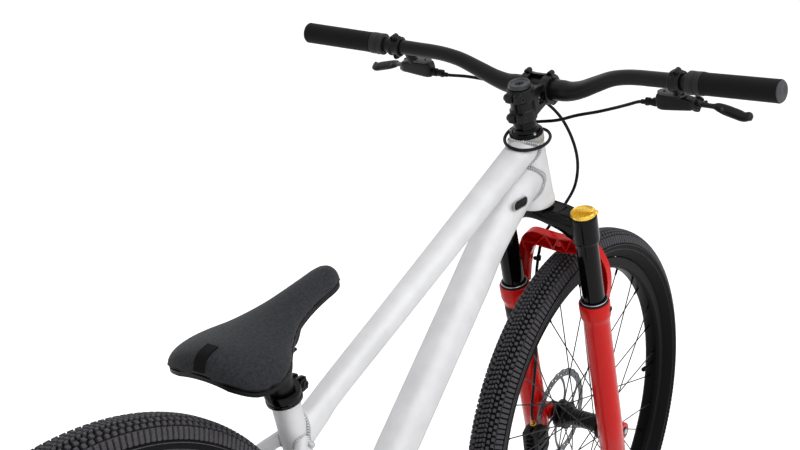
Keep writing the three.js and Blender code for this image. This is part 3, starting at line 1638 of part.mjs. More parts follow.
function headsetCover() {
  const low = headTubeTop + weldGap;
  const coverTop = low + headsetCoverHeight;
  const bore = (steererRadius + weldGap) / Math.cos(Math.PI / tubeSides);
  return rod([0, 0, low], [0, 0, coverTop], headTubeTopRadius, tubeSides, spacerRadius)
    .add(rod([0, 0, coverTop - overrun], [0, 0, spacerTop], spacerRadius))
    .add(rod([0, 0, low - bearingHeight], [0, 0, low + overrun], spacerRadius))
    .subtract(rod([0, 0, low - bearingHeight - overrun], [0, 0, spacerTop + overrun], bore));
}

function topCap() {
  const low = spacerTop + stemHeight + 2 * weldGap;
  return rod([0, 0, low], [0, 0, low + topCapHeight], topCapRadius)
    .add(rod([0, 0, low - topCapPlugLength], [0, 0, low + overrun], topCapPlugRadius));
}

function masterHosePort(side) {
  return [masterForward, side * (masterInnerY - hosePortLength), masterDistance - masterPortDrop];
}

function brakeMaster(side) {
  const ring = rod(onBar(side * brakeClampInnerY), onBar(side * brakeClampOuterY), brakeClampRadius);
  const middle = onBar((side * (brakeClampInnerY + brakeClampOuterY)) / 2);
  const centre = [masterForward, side * masterNeckY, masterDistance];
  const neck = rod(middle, centre, masterNeckRadius, smallSides);
  const body = oval(masterPlaceShares.map((share, i) => ({
    at: [masterForward, side * mixed(masterInnerY, masterOuterY, share), masterDistance],
    wide: masterHalfDepth * masterSizeShares[i],
    tall: masterHalfHeight * masterSizeShares[i],
  })), upward, smallSides, 0, castingRoundShare);
  const hole = ringBore(side, brakeClampInnerY, brakeClampOuterY);
  const port = rod(
    masterHosePort(side),
    [masterForward, side * (masterInnerY + hosePortLength), masterDistance - masterPortDrop],
    hosePortRadius,
    smallSides,
  );
  return ring.add(neck).add(body).add(port).add(leverFork(side)).subtract(hole)
    .subtract(leverGap(side));
}

// The lever turns in a plane through the bar, about this direction
function leverAxis() {
  const reach = new THREE.Vector3(masterPivotForward, 0, masterPivotDistance)
    .sub(new THREE.Vector3(onBar(masterPivotY).x, 0, onBar(masterPivotY).z)).normalize();
  return reach.cross(sideways).normalize().negate();
}

function leverPivot(side) {
  return new THREE.Vector3(masterPivotForward, side * masterPivotY, masterPivotDistance);
}

function leverFork(side) {
  const pivot = leverPivot(side);
  const axis = leverAxis();
  const low = pivot.clone().addScaledVector(axis, -masterEarHalfThickness);
  const high = pivot.clone().addScaledVector(axis, masterEarHalfThickness);
  const inner = [masterForward, side * (masterOuterY - masterForkSetback), masterDistance];
  return rod(low, high, masterPivotRadius, smallSides)
    .add(rod(inner, pivot, masterForkRadius, smallSides));
}

function leverGap(side) {
  const pivot = leverPivot(side);
  const axis = leverAxis();
  const half = leverBossHalfThickness + spinGap;
  const low = pivot.clone().addScaledVector(axis, -half);
  const high = pivot.clone().addScaledVector(axis, half);
  return rod(low, high, masterPivotRadius + leverSwingRoom, tubeSides)
    .subtract(rod(low, high, leverPinRadius, smallSides));
}

function brakeLever(side) {
  const pivot = leverPivot(side);
  const axis = leverAxis();
  const boss = rod(
    pivot.clone().addScaledVector(axis, -leverBossHalfThickness),
    pivot.clone().addScaledVector(axis, leverBossHalfThickness),
    masterPivotRadius,
    smallSides,
  );
  const tip = new THREE.Vector3(leverTipForward, side * leverTipY, leverTipDistance);
  const bow = pivot.clone().lerp(tip, leverBowShare);
  bow.x += leverHalfHeight;
  const hook = tip.clone();
  hook.y += side * leverHalfHeight;
  hook.x += leverHalfThickness;
  const blade = oval([
    { at: pivot, wide: leverHalfThickness, tall: leverRootHalfHeight },
    { at: pivot.clone().add(bow).divideScalar(2), wide: leverHalfThickness,
      tall: leverBossHalfThickness },
    { at: bow, wide: leverBowHalfThickness, tall: leverTipHalfHeight },
    { at: bow.clone().lerp(tip, leverBladeShare), wide: leverHalfThickness,
      tall: leverHalfHeight },
    { at: tip, wide: leverHalfThickness, tall: leverTipHalfHeight },
    { at: hook, wide: leverHookHalfThickness, tall: leverHookHalfHeight },
  ], axis, smallSides, 0, armRoundShare);
  const pin = rod(
    pivot.clone().addScaledVector(axis, -masterEarHalfThickness),
    pivot.clone().addScaledVector(axis, masterEarHalfThickness),
    (leverPinRadius + spinGap) / Math.cos(Math.PI / smallSides),
    smallSides,
  );
  return boss.add(blade).subtract(pin);
}

// Assembly

function addFrame() {
  addPart(bike, 'head_tube', headTube(), rawAluminium);
  addPart(bike, 'top_tube', topTube(), rawAluminium);
  addPart(bike, 'down_tube', downTube(), rawAluminium);
  addPart(bike, 'seat_tube', seatTube(), rawAluminium);
  addPart(bike, 'bottom_bracket_shell', bottomBracketShell(), rawAluminium);
  addPart(bike, 'left_chainstay', chainstay(1), rawAluminium);
  addPart(bike, 'right_chainstay', chainstay(-1), rawAluminium);
  addPart(bike, 'left_seatstay', seatstay(1), rawAluminium);
  addPart(bike, 'right_seatstay', seatstay(-1), rawAluminium);
  addPart(bike, 'cable_port_cover', portSlab(0, portDepth - weldGap, portProud), mouldedBlack);
  addPart(bike, 'seat_clamp', seatClamp(), glossBlack);
  addPart(bike, 'headset_lower_bearing', headsetLowerBearing(), darkSteel);
  addPart(bike, 'chain', chain(), darkSteel);
  const hose = strand(rearHoseRoute, hoseRadius, cordSides, rearHoseSteps);
  addPart(bike, 'rear_brake_hose', hose, mouldedBlack);
  const centre = new THREE.Group();
  centre.position.copy(bottomBracket);
  bike.add(centre);
  addPart(centre, 'bottom_bracket_bearings', bottomBracketBearings(), satinBlack);
  addPart(centre, 'left_crank', leftCrank(), satinBlack);
  addPart(centre, 'right_crank', rightCrank(), satinBlack);
  addPart(centre, 'chainring', chainring(), satinBlack).position.y = chainPlaneY;
  for (const [name, side] of [['left_pedal', 1], ['right_pedal', -1]]) {
    const part = addPart(centre, name, pedal(side), satinBlack);
    part.position.x = -side * crankLength;
  }
}

function addSaddle() {
  addPart(bike, 'seatpost', seatpost(), satinBlack);
  const saddle = new THREE.Group();
  saddle.position.copy(onSeatTube(seatTubeLength + railRise));
  saddle.rotation.y = -saddlePitch;
  bike.add(saddle);
  addPart(saddle, 'saddle_rails', saddleRails(), satinBlack);
  addPart(saddle, 'saddle_base', saddleBase(), mouldedBlack);
  addPart(saddle, 'saddle_pad', saddlePad(), saddleCloth);
}

function addFork() {
  addPart(steering, 'fork_crown', forkCrown(), glossBlack);
  addPart(steering, 'left_stanchion', stanchion(1), glossBlack);
  addPart(steering, 'right_stanchion', stanchion(-1), glossBlack);
  addPart(steering, 'damping_knob', dampingKnob(), goldAnodised);
  addPart(steering, 'fork_lowers', forkLowers(), glossRed);
  addPart(steering, 'left_wiper_seal', wiperSeal(1), blackRubber);
  addPart(steering, 'right_wiper_seal', wiperSeal(-1), blackRubber);
  const axle = new THREE.Group();
  axle.position.x = forkOffset;
  steering.add(axle);
  addPart(axle, 'front_axle', frontAxleBody(), darkSteel);
  addPart(axle, 'front_brake_caliper', frontCaliper(), satinBlack);
}

function addCockpit() {
  addPart(steering, 'headset_cover', headsetCover(), satinBlack);
  addPart(steering, 'stem', stem(), satinBlack);
  addPart(steering, 'stem_faceplate', faceplate(), satinBlack);
  addPart(steering, 'top_cap', topCap(), satinBlack);
  addPart(steering, 'handlebar', handlebar(), satinBlack);
  for (const [name, side] of [['left', 1], ['right', -1]]) {
    addPart(steering, `${name}_grip`, grip(side), blackRubber);
    addPart(steering, `${name}_grip_collar`, gripCollar(side), satinBlack);
    addPart(steering, `${name}_brake_master`, brakeMaster(side), satinBlack);
    addPart(steering, `${name}_brake_lever`, brakeLever(side), satinBlack);
  }
  const hose = strand(frontHoseRoute, hoseRadius, cordSides, frontHoseSteps);
  addPart(steering, 'front_brake_hose', hose, mouldedBlack);
}

function addWheels() {
  const front = new THREE.Group();
  front.position.copy(frontAxle);
  bike.add(front);
  addPart(front, 'front_tyre', tyre(), tyreRubber);
  addPart(front, 'front_rim', rim(), satinBlack);
  const frontFlanges = [frontLeftFlangeY, frontRightFlangeY];
  const frontSpokes = spokes(...frontFlanges, frontHubShellRadius);
  addPart(front, 'front_spokes', frontSpokes, satinBlack);
  const frontHub = hub(frontHubWidth, frontHubBore, frontHubCapRadius, frontHubShellRadius,
    ...frontFlanges);
  addPart(front, 'front_hub', frontHub, satinBlack);
  addPart(front, 'front_rotor', rotor(frontRotorY, frontHubCapRadius), brightSteel);
  const rear = new THREE.Group();
  rear.position.copy(rearAxle);
  bike.add(rear);
  addPart(rear, 'rear_tyre', tyre(), tyreRubber);
  addPart(rear, 'rear_rim', rim(), satinBlack);
  const rearFlanges = [rearLeftFlangeY, rearRightFlangeY];
  const rearSpokes = spokes(...rearFlanges, rearHubShellRadius);
  addPart(rear, 'rear_spokes', rearSpokes, satinBlack);
  const rearHub = hub(rearHubWidth, rearHubBore, rearHubCapRadius, rearHubShellRadius,
    ...rearFlanges);
  addPart(rear, 'rear_hub', rearHub, satinBlack);
  addPart(rear, 'rear_rotor', rotor(rearRotorY, rearHubCapRadius), brightSteel);
  addPart(rear, 'rear_axle', rearAxleBody(), darkSteel);
  addPart(rear, 'rear_brake_caliper', rearCaliper(), satinBlack);
  addPart(rear, 'rear_cog', cog(), darkSteel).position.y = chainPlaneY;
}

addFrame();
addSaddle();
addFork();
addCockpit();
addWheels();

export default bike;
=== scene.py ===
"""Looks for a dirt jump bike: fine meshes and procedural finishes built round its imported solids.

Sizes are in millimetres until a mesh is made, and Blender's own units are metres.
X points forward, Y to the rider's left and Z up.
"""

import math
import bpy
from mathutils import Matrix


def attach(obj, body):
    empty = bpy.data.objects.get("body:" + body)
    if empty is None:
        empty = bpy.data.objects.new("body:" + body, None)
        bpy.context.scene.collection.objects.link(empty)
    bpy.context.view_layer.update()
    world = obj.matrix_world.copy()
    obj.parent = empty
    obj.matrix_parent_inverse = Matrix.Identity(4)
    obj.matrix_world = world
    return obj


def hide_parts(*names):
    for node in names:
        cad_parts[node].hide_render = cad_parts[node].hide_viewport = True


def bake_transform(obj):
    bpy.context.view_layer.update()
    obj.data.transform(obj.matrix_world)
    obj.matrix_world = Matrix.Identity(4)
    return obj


bl_info = {
    "name": "Dirt jump bike looks",
    "version": (1, 0, 0),
    "blender": (4, 5, 0),
    "location": "3D View > Sidebar > Bike",
    "description": "Builds the visible pieces and finishes of a dirt jump bike",
    "category": "Object",
}

import bmesh
import bpy
from mathutils import Matrix, Vector
from mathutils.bvhtree import BVHTree

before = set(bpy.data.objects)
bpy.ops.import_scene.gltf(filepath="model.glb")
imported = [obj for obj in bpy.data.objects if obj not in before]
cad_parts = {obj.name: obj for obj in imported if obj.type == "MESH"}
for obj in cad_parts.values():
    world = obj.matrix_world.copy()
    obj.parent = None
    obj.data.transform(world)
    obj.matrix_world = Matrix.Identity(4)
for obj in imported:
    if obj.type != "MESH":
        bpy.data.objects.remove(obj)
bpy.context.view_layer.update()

MM = 0.001
TAU = 2 * math.pi

# Layout of the bike
WHEEL_RADIUS = 334
HALF_WHEELBASE = 528
HEAD_ANGLE = math.radians(69.9)
SEAT_ANGLE = math.radians(70.8)
SADDLE_PITCH = math.radians(16)
FRONT_AXLE = Vector((HALF_WHEELBASE, 0, WHEEL_RADIUS))
REAR_AXLE = Vector((-HALF_WHEELBASE, 0, WHEEL_RADIUS))
BOTTOM_BRACKET = Vector((-135, 0, 318))
SIDE = Vector((0, 1, 0))
UP = Vector((0, 0, 1))
STEER_UP = Vector((-math.cos(HEAD_ANGLE), 0, math.sin(HEAD_ANGLE)))
STEER_FORWARD = Vector((math.sin(HEAD_ANGLE), 0, math.cos(HEAD_ANGLE)))
FORK_OFFSET = 42.4
STEER_FOOT = FRONT_AXLE - STEER_FORWARD * FORK_OFFSET
SEAT_UP = Vector((-math.cos(SEAT_ANGLE), 0, math.sin(SEAT_ANGLE)))
SEAT_FORWARD = Vector((math.sin(SEAT_ANGLE), 0, math.cos(SEAT_ANGLE)))
SADDLE_FORWARD = Vector((math.cos(SADDLE_PITCH), 0, math.sin(SADDLE_PITCH)))
SADDLE_UP = Vector((-math.sin(SADDLE_PITCH), 0, math.cos(SADDLE_PITCH)))
RAIL_HEIGHT = 384
SEAT_TUBE_TOP = 322
LEG_Y, LEG_FORWARD = 73.5, 11
BAR_REACH, BAR_HEIGHT = 51, 629
# Share of half the bar, then the parts of its sweep, rise and taper there
BAR_STATIONS = [
    (0, 0, 0, 0), (0.1, 0, 0, 0), (0.14, 0.02, 0.02, 0.3), (0.19, 0.06, 0.12, 0.6),
    (0.26, 0.13, 0.33, 0.8), (0.33, 0.2, 0.53, 0.95), (0.39, 0.26, 0.63, 1),
    (0.45, 0.31, 0.68, 1), (1, 1, 1, 1),
]
BAR_HALF, BAR_SWEEP, BAR_RISE = 392.5, 39.5, 64.5
BAR_MIDDLE_RADIUS, BAR_END_RADIUS = 15.9, 11.1
ROTOR_Y = {"front": 44, "rear": 51.5}
CHAIN_Y = -43.5
CRANK_LENGTH = 170
SIDES = (("left", 1), ("right", -1))


def hose_ring(turn):
    """A point of the rear hose where it loops loosely round the head tube; 0 degrees is in front."""
    angle = math.radians(turn)
    lift = max(0, 8 - turn / 15) - max(0, turn - 330) / 20
    x, y = 42 * math.cos(angle), 30 * math.sin(angle)
    return 290 + x, -2 + y, 856 + 0.24 * x + 0.2 * y + lift


HOSE_ENTRY = Vector((228, 14, 750))
# The rear hose at rest: from the master, round the head tube, down inside the down tube and to the caliper
REAR_HOSE = [
    (322.1, -173.7, 927.4), (323.5, -163, 926.2), (331, -143, 919), (343, -115, 909), (349, -85, 899),
    (348, -50, 889), (341, -22, 879), *[hose_ring(15 + 30 * k) for k in range(14)],
    (324, 30, 846), (321, 35, 824), (312, 36, 802), (294, 33, 780), (262, 26, 760), HOSE_ENTRY, (198, 3, 711),
    (150, 0, 654), (90, 0, 583), (30, 0, 512), (-20, 2, 454), (-42, 14, 418), (-50, 29, 386), (-66, 38, 350),
    (-98, 42, 312), (-130, 42, 286), (-168, 42, 284), (-210, 45, 296), (-270, 50, 303), (-340, 54, 307),
    (-385, 54, 309), (-408, 50, 313), (-424, 46, 325), (-438, 46, 346), (-450.5, 44.2, 367),
    (-461.3, 44, 382.4), (-470, 46, 387),
]
# The front hose is given in the steering frame: forward, left and up the steering axis
FRONT_HOSE = [
    (53, 173.7, 628), (53, 163, 628), (60, 134, 626), (74, 88, 615), (85, 46, 600),
    (90, 14, 580), (91, -8, 555), (89, -24, 516), (85, -28, 482), (75, -24, 450),
    (66, -8, 420), (66, 20, 382), (66, 42, 350), (63, 52, 320), (51, 55, 286),
    (31, 50, 245), (14, 48, 200), (5, 49, 150), (-11, 50, 105), (-27, 48.6, 76),
    (-35.5, 46.8, 58), (-36.2, 46.4, 47),
]


def on_steering(up, forward=0, left=0):
    return STEER_FOOT + STEER_UP * up + STEER_FORWARD * forward + SIDE * left


def on_seat_tube(up, forward=0, left=0):
    return BOTTOM_BRACKET + SEAT_UP * up + SEAT_FORWARD * forward + SIDE * left


def mixed(start, end, share):
    return start + (end - start) * share


def between(table, share):
    """The values of a table whose first column is a share, read between its rows."""
    for low, high in zip(table, table[1:]):
        if share <= high[0]:
            t = max(0, min(1, (share - low[0]) / (high[0] - low[0])))
            return [mixed(a, b, t) for a, b in zip(low[1:], high[1:])]
    return list(table[-1][1:])


# Shapes


class Shape:
    """Points in millimetres and the faces between them."""

    def __init__(self, points=(), faces=()):
        self.points = [Vector(p) for p in points]
        self.faces = [tuple(f) for f in faces]

    def add(self, other):
        base = len(self.points)
        self.points += other.points
        self.faces += [tuple(base + i for i in f) for f in other.faces]
        return self

    def moved(self, matrix):
        return Shape([matrix @ p for p in self.points], self.faces)

    def mirrored(self):
        flipped = [Vector((p.x, -p.y, p.z)) for p in self.points]
        return Shape(flipped, [tuple(reversed(f)) for f in self.faces])


def joined(shapes):
    whole = Shape()
    for shape in shapes:
        whole.add(shape)
    return whole


def axes_along(direction):
    """Two directions square to a given one, the second as near to upright as it can be."""
    along = Vector(direction).normalized()
    lean = UP if abs(along.dot(UP)) <= 0.99 else Vector((1, 0, 0))
    across = lean.cross(along).normalized()
    return across, along.cross(across).normalized()


def placed(at, x_axis, y_axis):
    """The matrix that puts a flat drawing at a point, along two directions."""
    x_axis = Vector(x_axis).normalized()
    y_axis = Vector(y_axis).normalized()
    z_axis = x_axis.cross(y_axis)
    matrix = Matrix((x_axis, y_axis, z_axis)).transposed().to_4x4()
    matrix.translation = at
    return matrix


def upright(at):
    """The matrix that stands a flat drawing up along the bike at a point."""
    return placed(at, (1, 0, 0), (0, 0, 1))


def loft(rings, closed=False):
    """A skin over rings that all have the same number of points."""
    count = len(rings[0])
    points = [p for ring in rings for p in ring]
    faces = []
    for r in range(len(rings) if closed else len(rings) - 1):
        a, b = r * count, (r + 1) % len(rings) * count
        for k in range(count):
            j = (k + 1) % count
            faces.append((a + k, a + j, b + j, b + k))
    if not closed:
        faces.append(tuple(reversed(range(count))))
        last = (len(rings) - 1) * count
        faces.append(tuple(last + k for k in range(count)))
    return Shape(points, faces)


def ring(centre, wide, tall, half_width, half_height, sides=32, power=1.0):
    """An oval of points; a power under 1 squares it off."""
    points = []
    for k in range(sides):
        angle = TAU * (k + 0.5) / sides
        c, s = math.cos(angle), math.sin(angle)
        x = math.copysign(abs(c) ** power, c) * half_width
        y = math.copysign(abs(s) ** power, s) * half_height
        points.append(centre + wide * x + tall * y)
    return points


def smooth_line(points, steps):
    """Points evenly spread in parameter along a centripetal curve through the given ones."""
    points = [Vector(p) for p in points]
    count = len(points) - 1
    made = []
    for i in range(steps + 1):
        place = min(count * i / steps, count - 1e-9)
        k = int(place)
        t = place - k
        p1, p2 = points[k], points[k + 1]
        p0 = points[k - 1] if k > 0 else p1 * 2 - p2
        p3 = points[k + 2] if k + 2 <= count else p2 * 2 - p1
        d0, d1, d2 = (max((b - a).length ** 0.5, 1e-4) for a, b in ((p0, p1), (p1, p2), (p2, p3)))
        m1 = ((p1 - p0) / d0 - (p2 - p0) / (d0 + d1) + (p2 - p1) / d1) * d1
        m2 = ((p2 - p1) / d1 - (p3 - p1) / (d1 + d2) + (p3 - p2) / d2) * d1
        made.append(p1 * (2 * t**3 - 3 * t**2 + 1) + m1 * (t**3 - 2 * t**2 + t)
                    + p2 * (3 * t**2 - 2 * t**3) + m2 * (t**3 - t**2))
    return made


def tube(path, radius, sides=12, closed=False):
    """A round tube along a line of points; radius is one number or one for each point."""
    path = [Vector(p) for p in path]
    count = len(path)
    radii = radius if isinstance(radius, (list, tuple)) else [radius] * count
    rings = []
    across = None
    for i, at in enumerate(path):
        before = path[i - 1] if i > 0 or closed else at
        after = path[(i + 1) % count] if i + 1 < count or closed else at
        along = (after - before).normalized()
        if across is None:
            across, _ = axes_along(along)
        across = (across - along * across.dot(along)).normalized()
        other = along.cross(across)
        rings.append(ring(at, across, other, radii[i], radii[i], sides))
    return loft(rings, closed)


def rod(start, end, radius, sides=32):
    return tube([start, end], radius, sides)


def around(centre, across, other, radius, sides):
    """Points of a circle spanned by two directions."""
    return [centre + across * (radius * math.cos(TAU * k / sides)) + other * (radius * math.sin(TAU * k / sides))
            for k in range(sides)]


def lathe(profile, at, axis, sides=48, hollow=False):
    """A turned piece; each profile point is (radius, distance along the axis)."""
    axis = Vector(axis).normalized()
    across, other = axes_along(axis)
    return loft([around(Vector(at) + axis * run, across, other, max(radius, 0.02), sides) for radius, run in profile],
                hollow)


def oval_rings(stations, up=UP, sides=48, power=1.0):
    """Rings at (place, half width, half height) stations."""
    rings = []
    for i, (at, wide, tall) in enumerate(stations):
        before = stations[max(i - 1, 0)][0]
        after = stations[min(i + 1, len(stations) - 1)][0]
        along = (after - before).normalized()
        across = up.cross(along).normalized()
        rings.append(ring(at, across, along.cross(across), wide, tall, sides, power))
    return rings


def oval_tube(stations, up=UP, sides=48, power=1.0):
    return loft(oval_rings(stations, up, sides, power))


def smooth_stations(stations, steps):
    """More stations along a smooth curve through the given ones."""
    places = smooth_line([s[0] for s in stations], steps)
    sizes = smooth_line([(s[1], s[2], 0) for s in stations], steps)
    return [(at, size.x, size.y) for at, size in zip(places, sizes)]


def block(size, matrix, bevel=0.6):
    """A box with small chamfers, centred on a matrix."""
    x, y, z = (s / 2 for s in size)
    rings = []
    for height, inset in ((-z, bevel), (-z + bevel, 0), (z - bevel, 0), (z, bevel)):
        a, b = x - inset, y - inset
        rings.append([matrix @ Vector(p) for p in (
            (a - bevel, -b, height), (a, -b + bevel, height), (a, b - bevel, height),
            (a - bevel, b, height), (-a + bevel, b, height), (-a, b - bevel, height),
            (-a, -b + bevel, height), (-a + bevel, -b, height),
        )])
    return loft(rings)


def polar(radius, angle, at=(0, 0)):
    return at[0] + radius * math.cos(angle), at[1] + radius * math.sin(angle)


def circle(radius, sides=32, at=(0, 0), turn=0.0):
    return [polar(radius, turn + TAU * k / sides, at) for k in range(sides)]


def arc(wide, tall, start, end, steps, at=(0, 0)):
    """Points along an oval between two angles in degrees."""
    angles = [math.radians(mixed(start, end, k / steps)) for k in range(steps + 1)]
    return [(at[0] + wide * math.cos(a), at[1] + tall * math.sin(a)) for a in angles]


def slot_outline(half_run, radius, at=(0, 0), angle=0.0, sides=10):
    """A strip with round ends."""
    points = []
    for end, start in ((1, -math.pi / 2), (-1, math.pi / 2)):
        for k in range(sides + 1):
            a = start + math.pi * k / sides
            points.append((end * half_run + radius * math.cos(a), radius * math.sin(a)))
    c, s = math.cos(angle), math.sin(angle)
    return [(at[0] + x * c - y * s, at[1] + x * s + y * c) for x, y in points]


def plate(outlines, thickness, matrix, bevel=0.3):
    """A flat piece cut from outlines, the first the rim and the others holes."""
    curve = bpy.data.curves.new("outline", "CURVE")
    curve.dimensions = "2D"
    curve.fill_mode = "BOTH"
    curve.extrude = thickness / 2 - bevel
    curve.bevel_depth = bevel
    curve.bevel_resolution = 1
    curve.offset = -bevel
    for outline in outlines:
        spline = curve.splines.new("POLY")
        spline.points.add(len(outline) - 1)
        for point, (x, y) in zip(spline.points, outline):
            point.co = (x, y, 0, 1)
        spline.use_cyclic_u = True
    holder = bpy.data.objects.new("outline", curve)
    mesh = holder.to_mesh()
    shape = Shape([matrix @ v.co for v in mesh.vertices], [tuple(p.vertices) for p in mesh.polygons])
    holder.to_mesh_clear()
    bpy.data.objects.remove(holder)
    bpy.data.curves.remove(curve)
    return shape


def hexagon_reach(radius, angle):
    """How far a hexagon's edge lies from its middle at an angle."""
    return radius / math.cos((angle + math.pi / 6) % (math.pi / 3) - math.pi / 6)


def bolt(at, axis, radius, height, socket=0.45, sides=30):
    """A round bolt head with a hexagon socket, standing up from a point along an axis."""
    across, other = axes_along(axis)
    axis = Vector(axis).normalized()

    def level(reach, run, hexagonal):
        points = []
        for k in range(sides):
            a = TAU * k / sides
            r = hexagon_reach(reach, a) if hexagonal else reach
            points.append(Vector(at) + axis * run + across * r * math.cos(a) + other * r * math.sin(a))
        return points

    edge = min(0.18 * radius, 0.35 * height)
    hole = socket * radius
    return loft([
        level(radius, -0.5 * height, False), level(radius, height - edge, False),
        level(radius - edge, height, False), level(hole * 1.22, height, False),
        level(hole, height - 0.1 * radius, True), level(hole, 0.35 * height, True),
        level(0.05, 0.3 * height, True),
    ])


def knurled(at, axis, radius, height):
    """A bolt head with a knurled rim."""
    across, other = axes_along(axis)
    axis = Vector(axis).normalized()
    sides = 80
    rings = []
    for reach, run in ((1, -0.2), (1, 0.75), (0.9, 0.95), (0.6, 1), (0.5, 0.95), (0.45, 0.4), (0.01, 0.35)):
        points = []
        for k in range(sides):
            ripple = 0.05 if k % 4 < 2 and 0.8 < reach else 0
            r = radius * (reach - ripple)
            a = TAU * k / sides
            points.append(Vector(at) + axis * run * height
                          + across * r * math.cos(a) + other * r * math.sin(a))
        rings.append(points)
    return loft(rings)


def bead(line, radius, closed=True):
    """A weld bead: overlapping drops stacked along a line, one every three millimetres or so."""
    line = [Vector(p) for p in line]
    if closed:
        line.append(line[0])
    lengths = [0.0]
    for a, b in zip(line, line[1:]):
        lengths.append(lengths[-1] + (b - a).length)
    drops = max(4, round(lengths[-1] / 3.0))
    profile = (0.62, 0.88, 1.0, 0.97, 0.82)
    path, radii = [], []
    k = 0
    for i in range(drops * len(profile) + (0 if closed else 1)):
        run = lengths[-1] * i / (drops * len(profile))
        while k + 2 < len(lengths) and lengths[k + 1] < run:
            k += 1
        t = (run - lengths[k]) / max(lengths[k + 1] - lengths[k], 1e-6)
        path.append(line[k].lerp(line[k + 1], min(1, t)))
        swing = 1 + 0.07 * math.sin(run * 0.25)
        radii.append(radius * profile[i % len(profile)] * swing)
    return tube(path, radii, 12, closed)


def worked(mesh, *steps):
    """Runs bmesh steps on a mesh."""
    work = bmesh.new()
    work.from_mesh(mesh)
    for step in steps:
        step(work)
    work.to_mesh(mesh)
    work.free()


def face_outward(work):
    bmesh.ops.recalc_face_normals(work, faces=work.faces)


def relax(work):
    bmesh.ops.smooth_vert(work, verts=work.verts, factor=0.5, use_axis_x=True, use_axis_y=True, use_axis_z=True)


def voxel_skin(holder, voxel):
    """The mesh of an object remade as one even skin with faces about that many millimetres wide."""
    remesh = holder.modifiers.new("even_skin", "REMESH")
    remesh.mode = "VOXEL"
    remesh.voxel_size = voxel * MM
    skin = bpy.data.meshes.new_from_object(holder.evaluated_get(bpy.context.evaluated_depsgraph_get()))
    holder.modifiers.remove(remesh)
    return skin


def fused(shape, voxel, passes):
    """One skin over shapes that cross, with its inner corners filled a little."""
    mesh = bpy.data.meshes.new("fused")
    mesh.from_pydata([p * MM for p in shape.points], [], shape.faces)
    worked(mesh, face_outward)
    holder = bpy.data.objects.new("fused", mesh)
    bpy.context.scene.collection.objects.link(holder)
    skin = voxel_skin(holder, voxel)
    worked(skin, *[relax] * passes)
    made = Shape([v.co / MM for v in skin.vertices], [tuple(p.vertices) for p in skin.polygons])
    bpy.data.objects.remove(holder)
    bpy.data.meshes.remove(mesh)
    bpy.data.meshes.remove(skin)
    return made


def tree_of(shape):
    return BVHTree.FromPolygons(shape.points, shape.faces)


# Materials


def linear(colour):
    """A written sRGB colour as the linear one that Blender mixes with; a user's colour is linear already."""
    if not isinstance(colour, str):
        return tuple(colour)
    values = [int(colour[i:i + 2], 16) / 255 for i in (1, 3, 5)]
    return tuple(v / 12.92 if v <= 0.04045 else ((v + 0.055) / 1.055) ** 2.4 for v in values) + (1,)


def add_node(tree, kind, inputs=None, **settings):
    """A node of one kind, with its settings and input values; a socket as value is linked."""
    made = tree.nodes.new(kind)
    for name, value in settings.items():
        setattr(made, name, value)
    for name, value in (inputs or {}).items():
        if isinstance(value, bpy.types.NodeSocket):
            tree.links.new(value, made.inputs[name])
        else:
            made.inputs[name].default_value = value
    return made


def new_material(name, colour, metallic, roughness, **shader):
    """A material and its shader, with the values that are the same all over."""
    material = bpy.data.materials.new(name)
    material.use_nodes = True
    tree = material.node_tree
    tree.nodes.clear()
    skin = add_node(tree, "ShaderNodeBsdfPrincipled", {
        "Base Color": linear(colour), "Metallic": metallic, "Roughness": roughness, **shader,
    })
    add_node(tree, "ShaderNodeOutputMaterial", {"Surface": skin.outputs["BSDF"]})
    material.diffuse_color = linear(colour)
    return material, tree, skin


def grain(tree, size_mm, detail=3.0, stretch=(1, 1, 1)):
    """Noise whose spots are about that many millimetres wide."""
    place = add_node(tree, "ShaderNodeTexCoord")
    scaled = add_node(tree, "ShaderNodeMapping", {"Vector": place.outputs["Object"], "Scale": stretch})
    return add_node(tree, "ShaderNodeTexNoise", {
        "Vector": scaled.outputs["Vector"], "Scale": 1 / (size_mm * MM), "Detail": detail,
    })


def ranged(tree, source, low, high, start=0.35, end=0.65):
    return add_node(tree, "ShaderNodeMapRange", {
        "Value": source, "From Min": start, "From Max": end, "To Min": low, "To Max": high,
    }).outputs["Result"]


def tinted(tree, source, low, high):
    """A colour between two, by a texture."""
    return add_node(tree, "ShaderNodeMix", {
        "Factor": source, 6: linear(low), 7: linear(high),
    }, data_type="RGBA").outputs[2]


def bumped(tree, source, height_mm, strength=1.0, after=None):
    inputs = {"Height": source, "Distance": height_mm * MM, "Strength": strength}
    if after is not None:
        inputs["Normal"] = after
    return add_node(tree, "ShaderNodeBump", inputs).outputs["Normal"]


def finish(name, colours, metallic, roughness, spot_mm, bump_mm, stretch=(1, 1, 1), specular=0.5):
    """A finish whose colour, gloss and surface vary gently by one noise."""
    material, tree, skin = new_material(name, colours[0], metallic, roughness[0], **{"Specular IOR Level": specular})
    spots = grain(tree, spot_mm, 4.0, stretch)
    share = ranged(tree, spots.outputs["Fac"], 0, 1, 0.3, 0.7)
    tree.links.new(tinted(tree, share, *colours), skin.inputs["Base Color"])
    tree.links.new(ranged(tree, spots.outputs["Fac"], *roughness), skin.inputs["Roughness"])
    tree.links.new(bumped(tree, spots.outputs["Fac"], bump_mm), skin.inputs["Normal"])
    return material


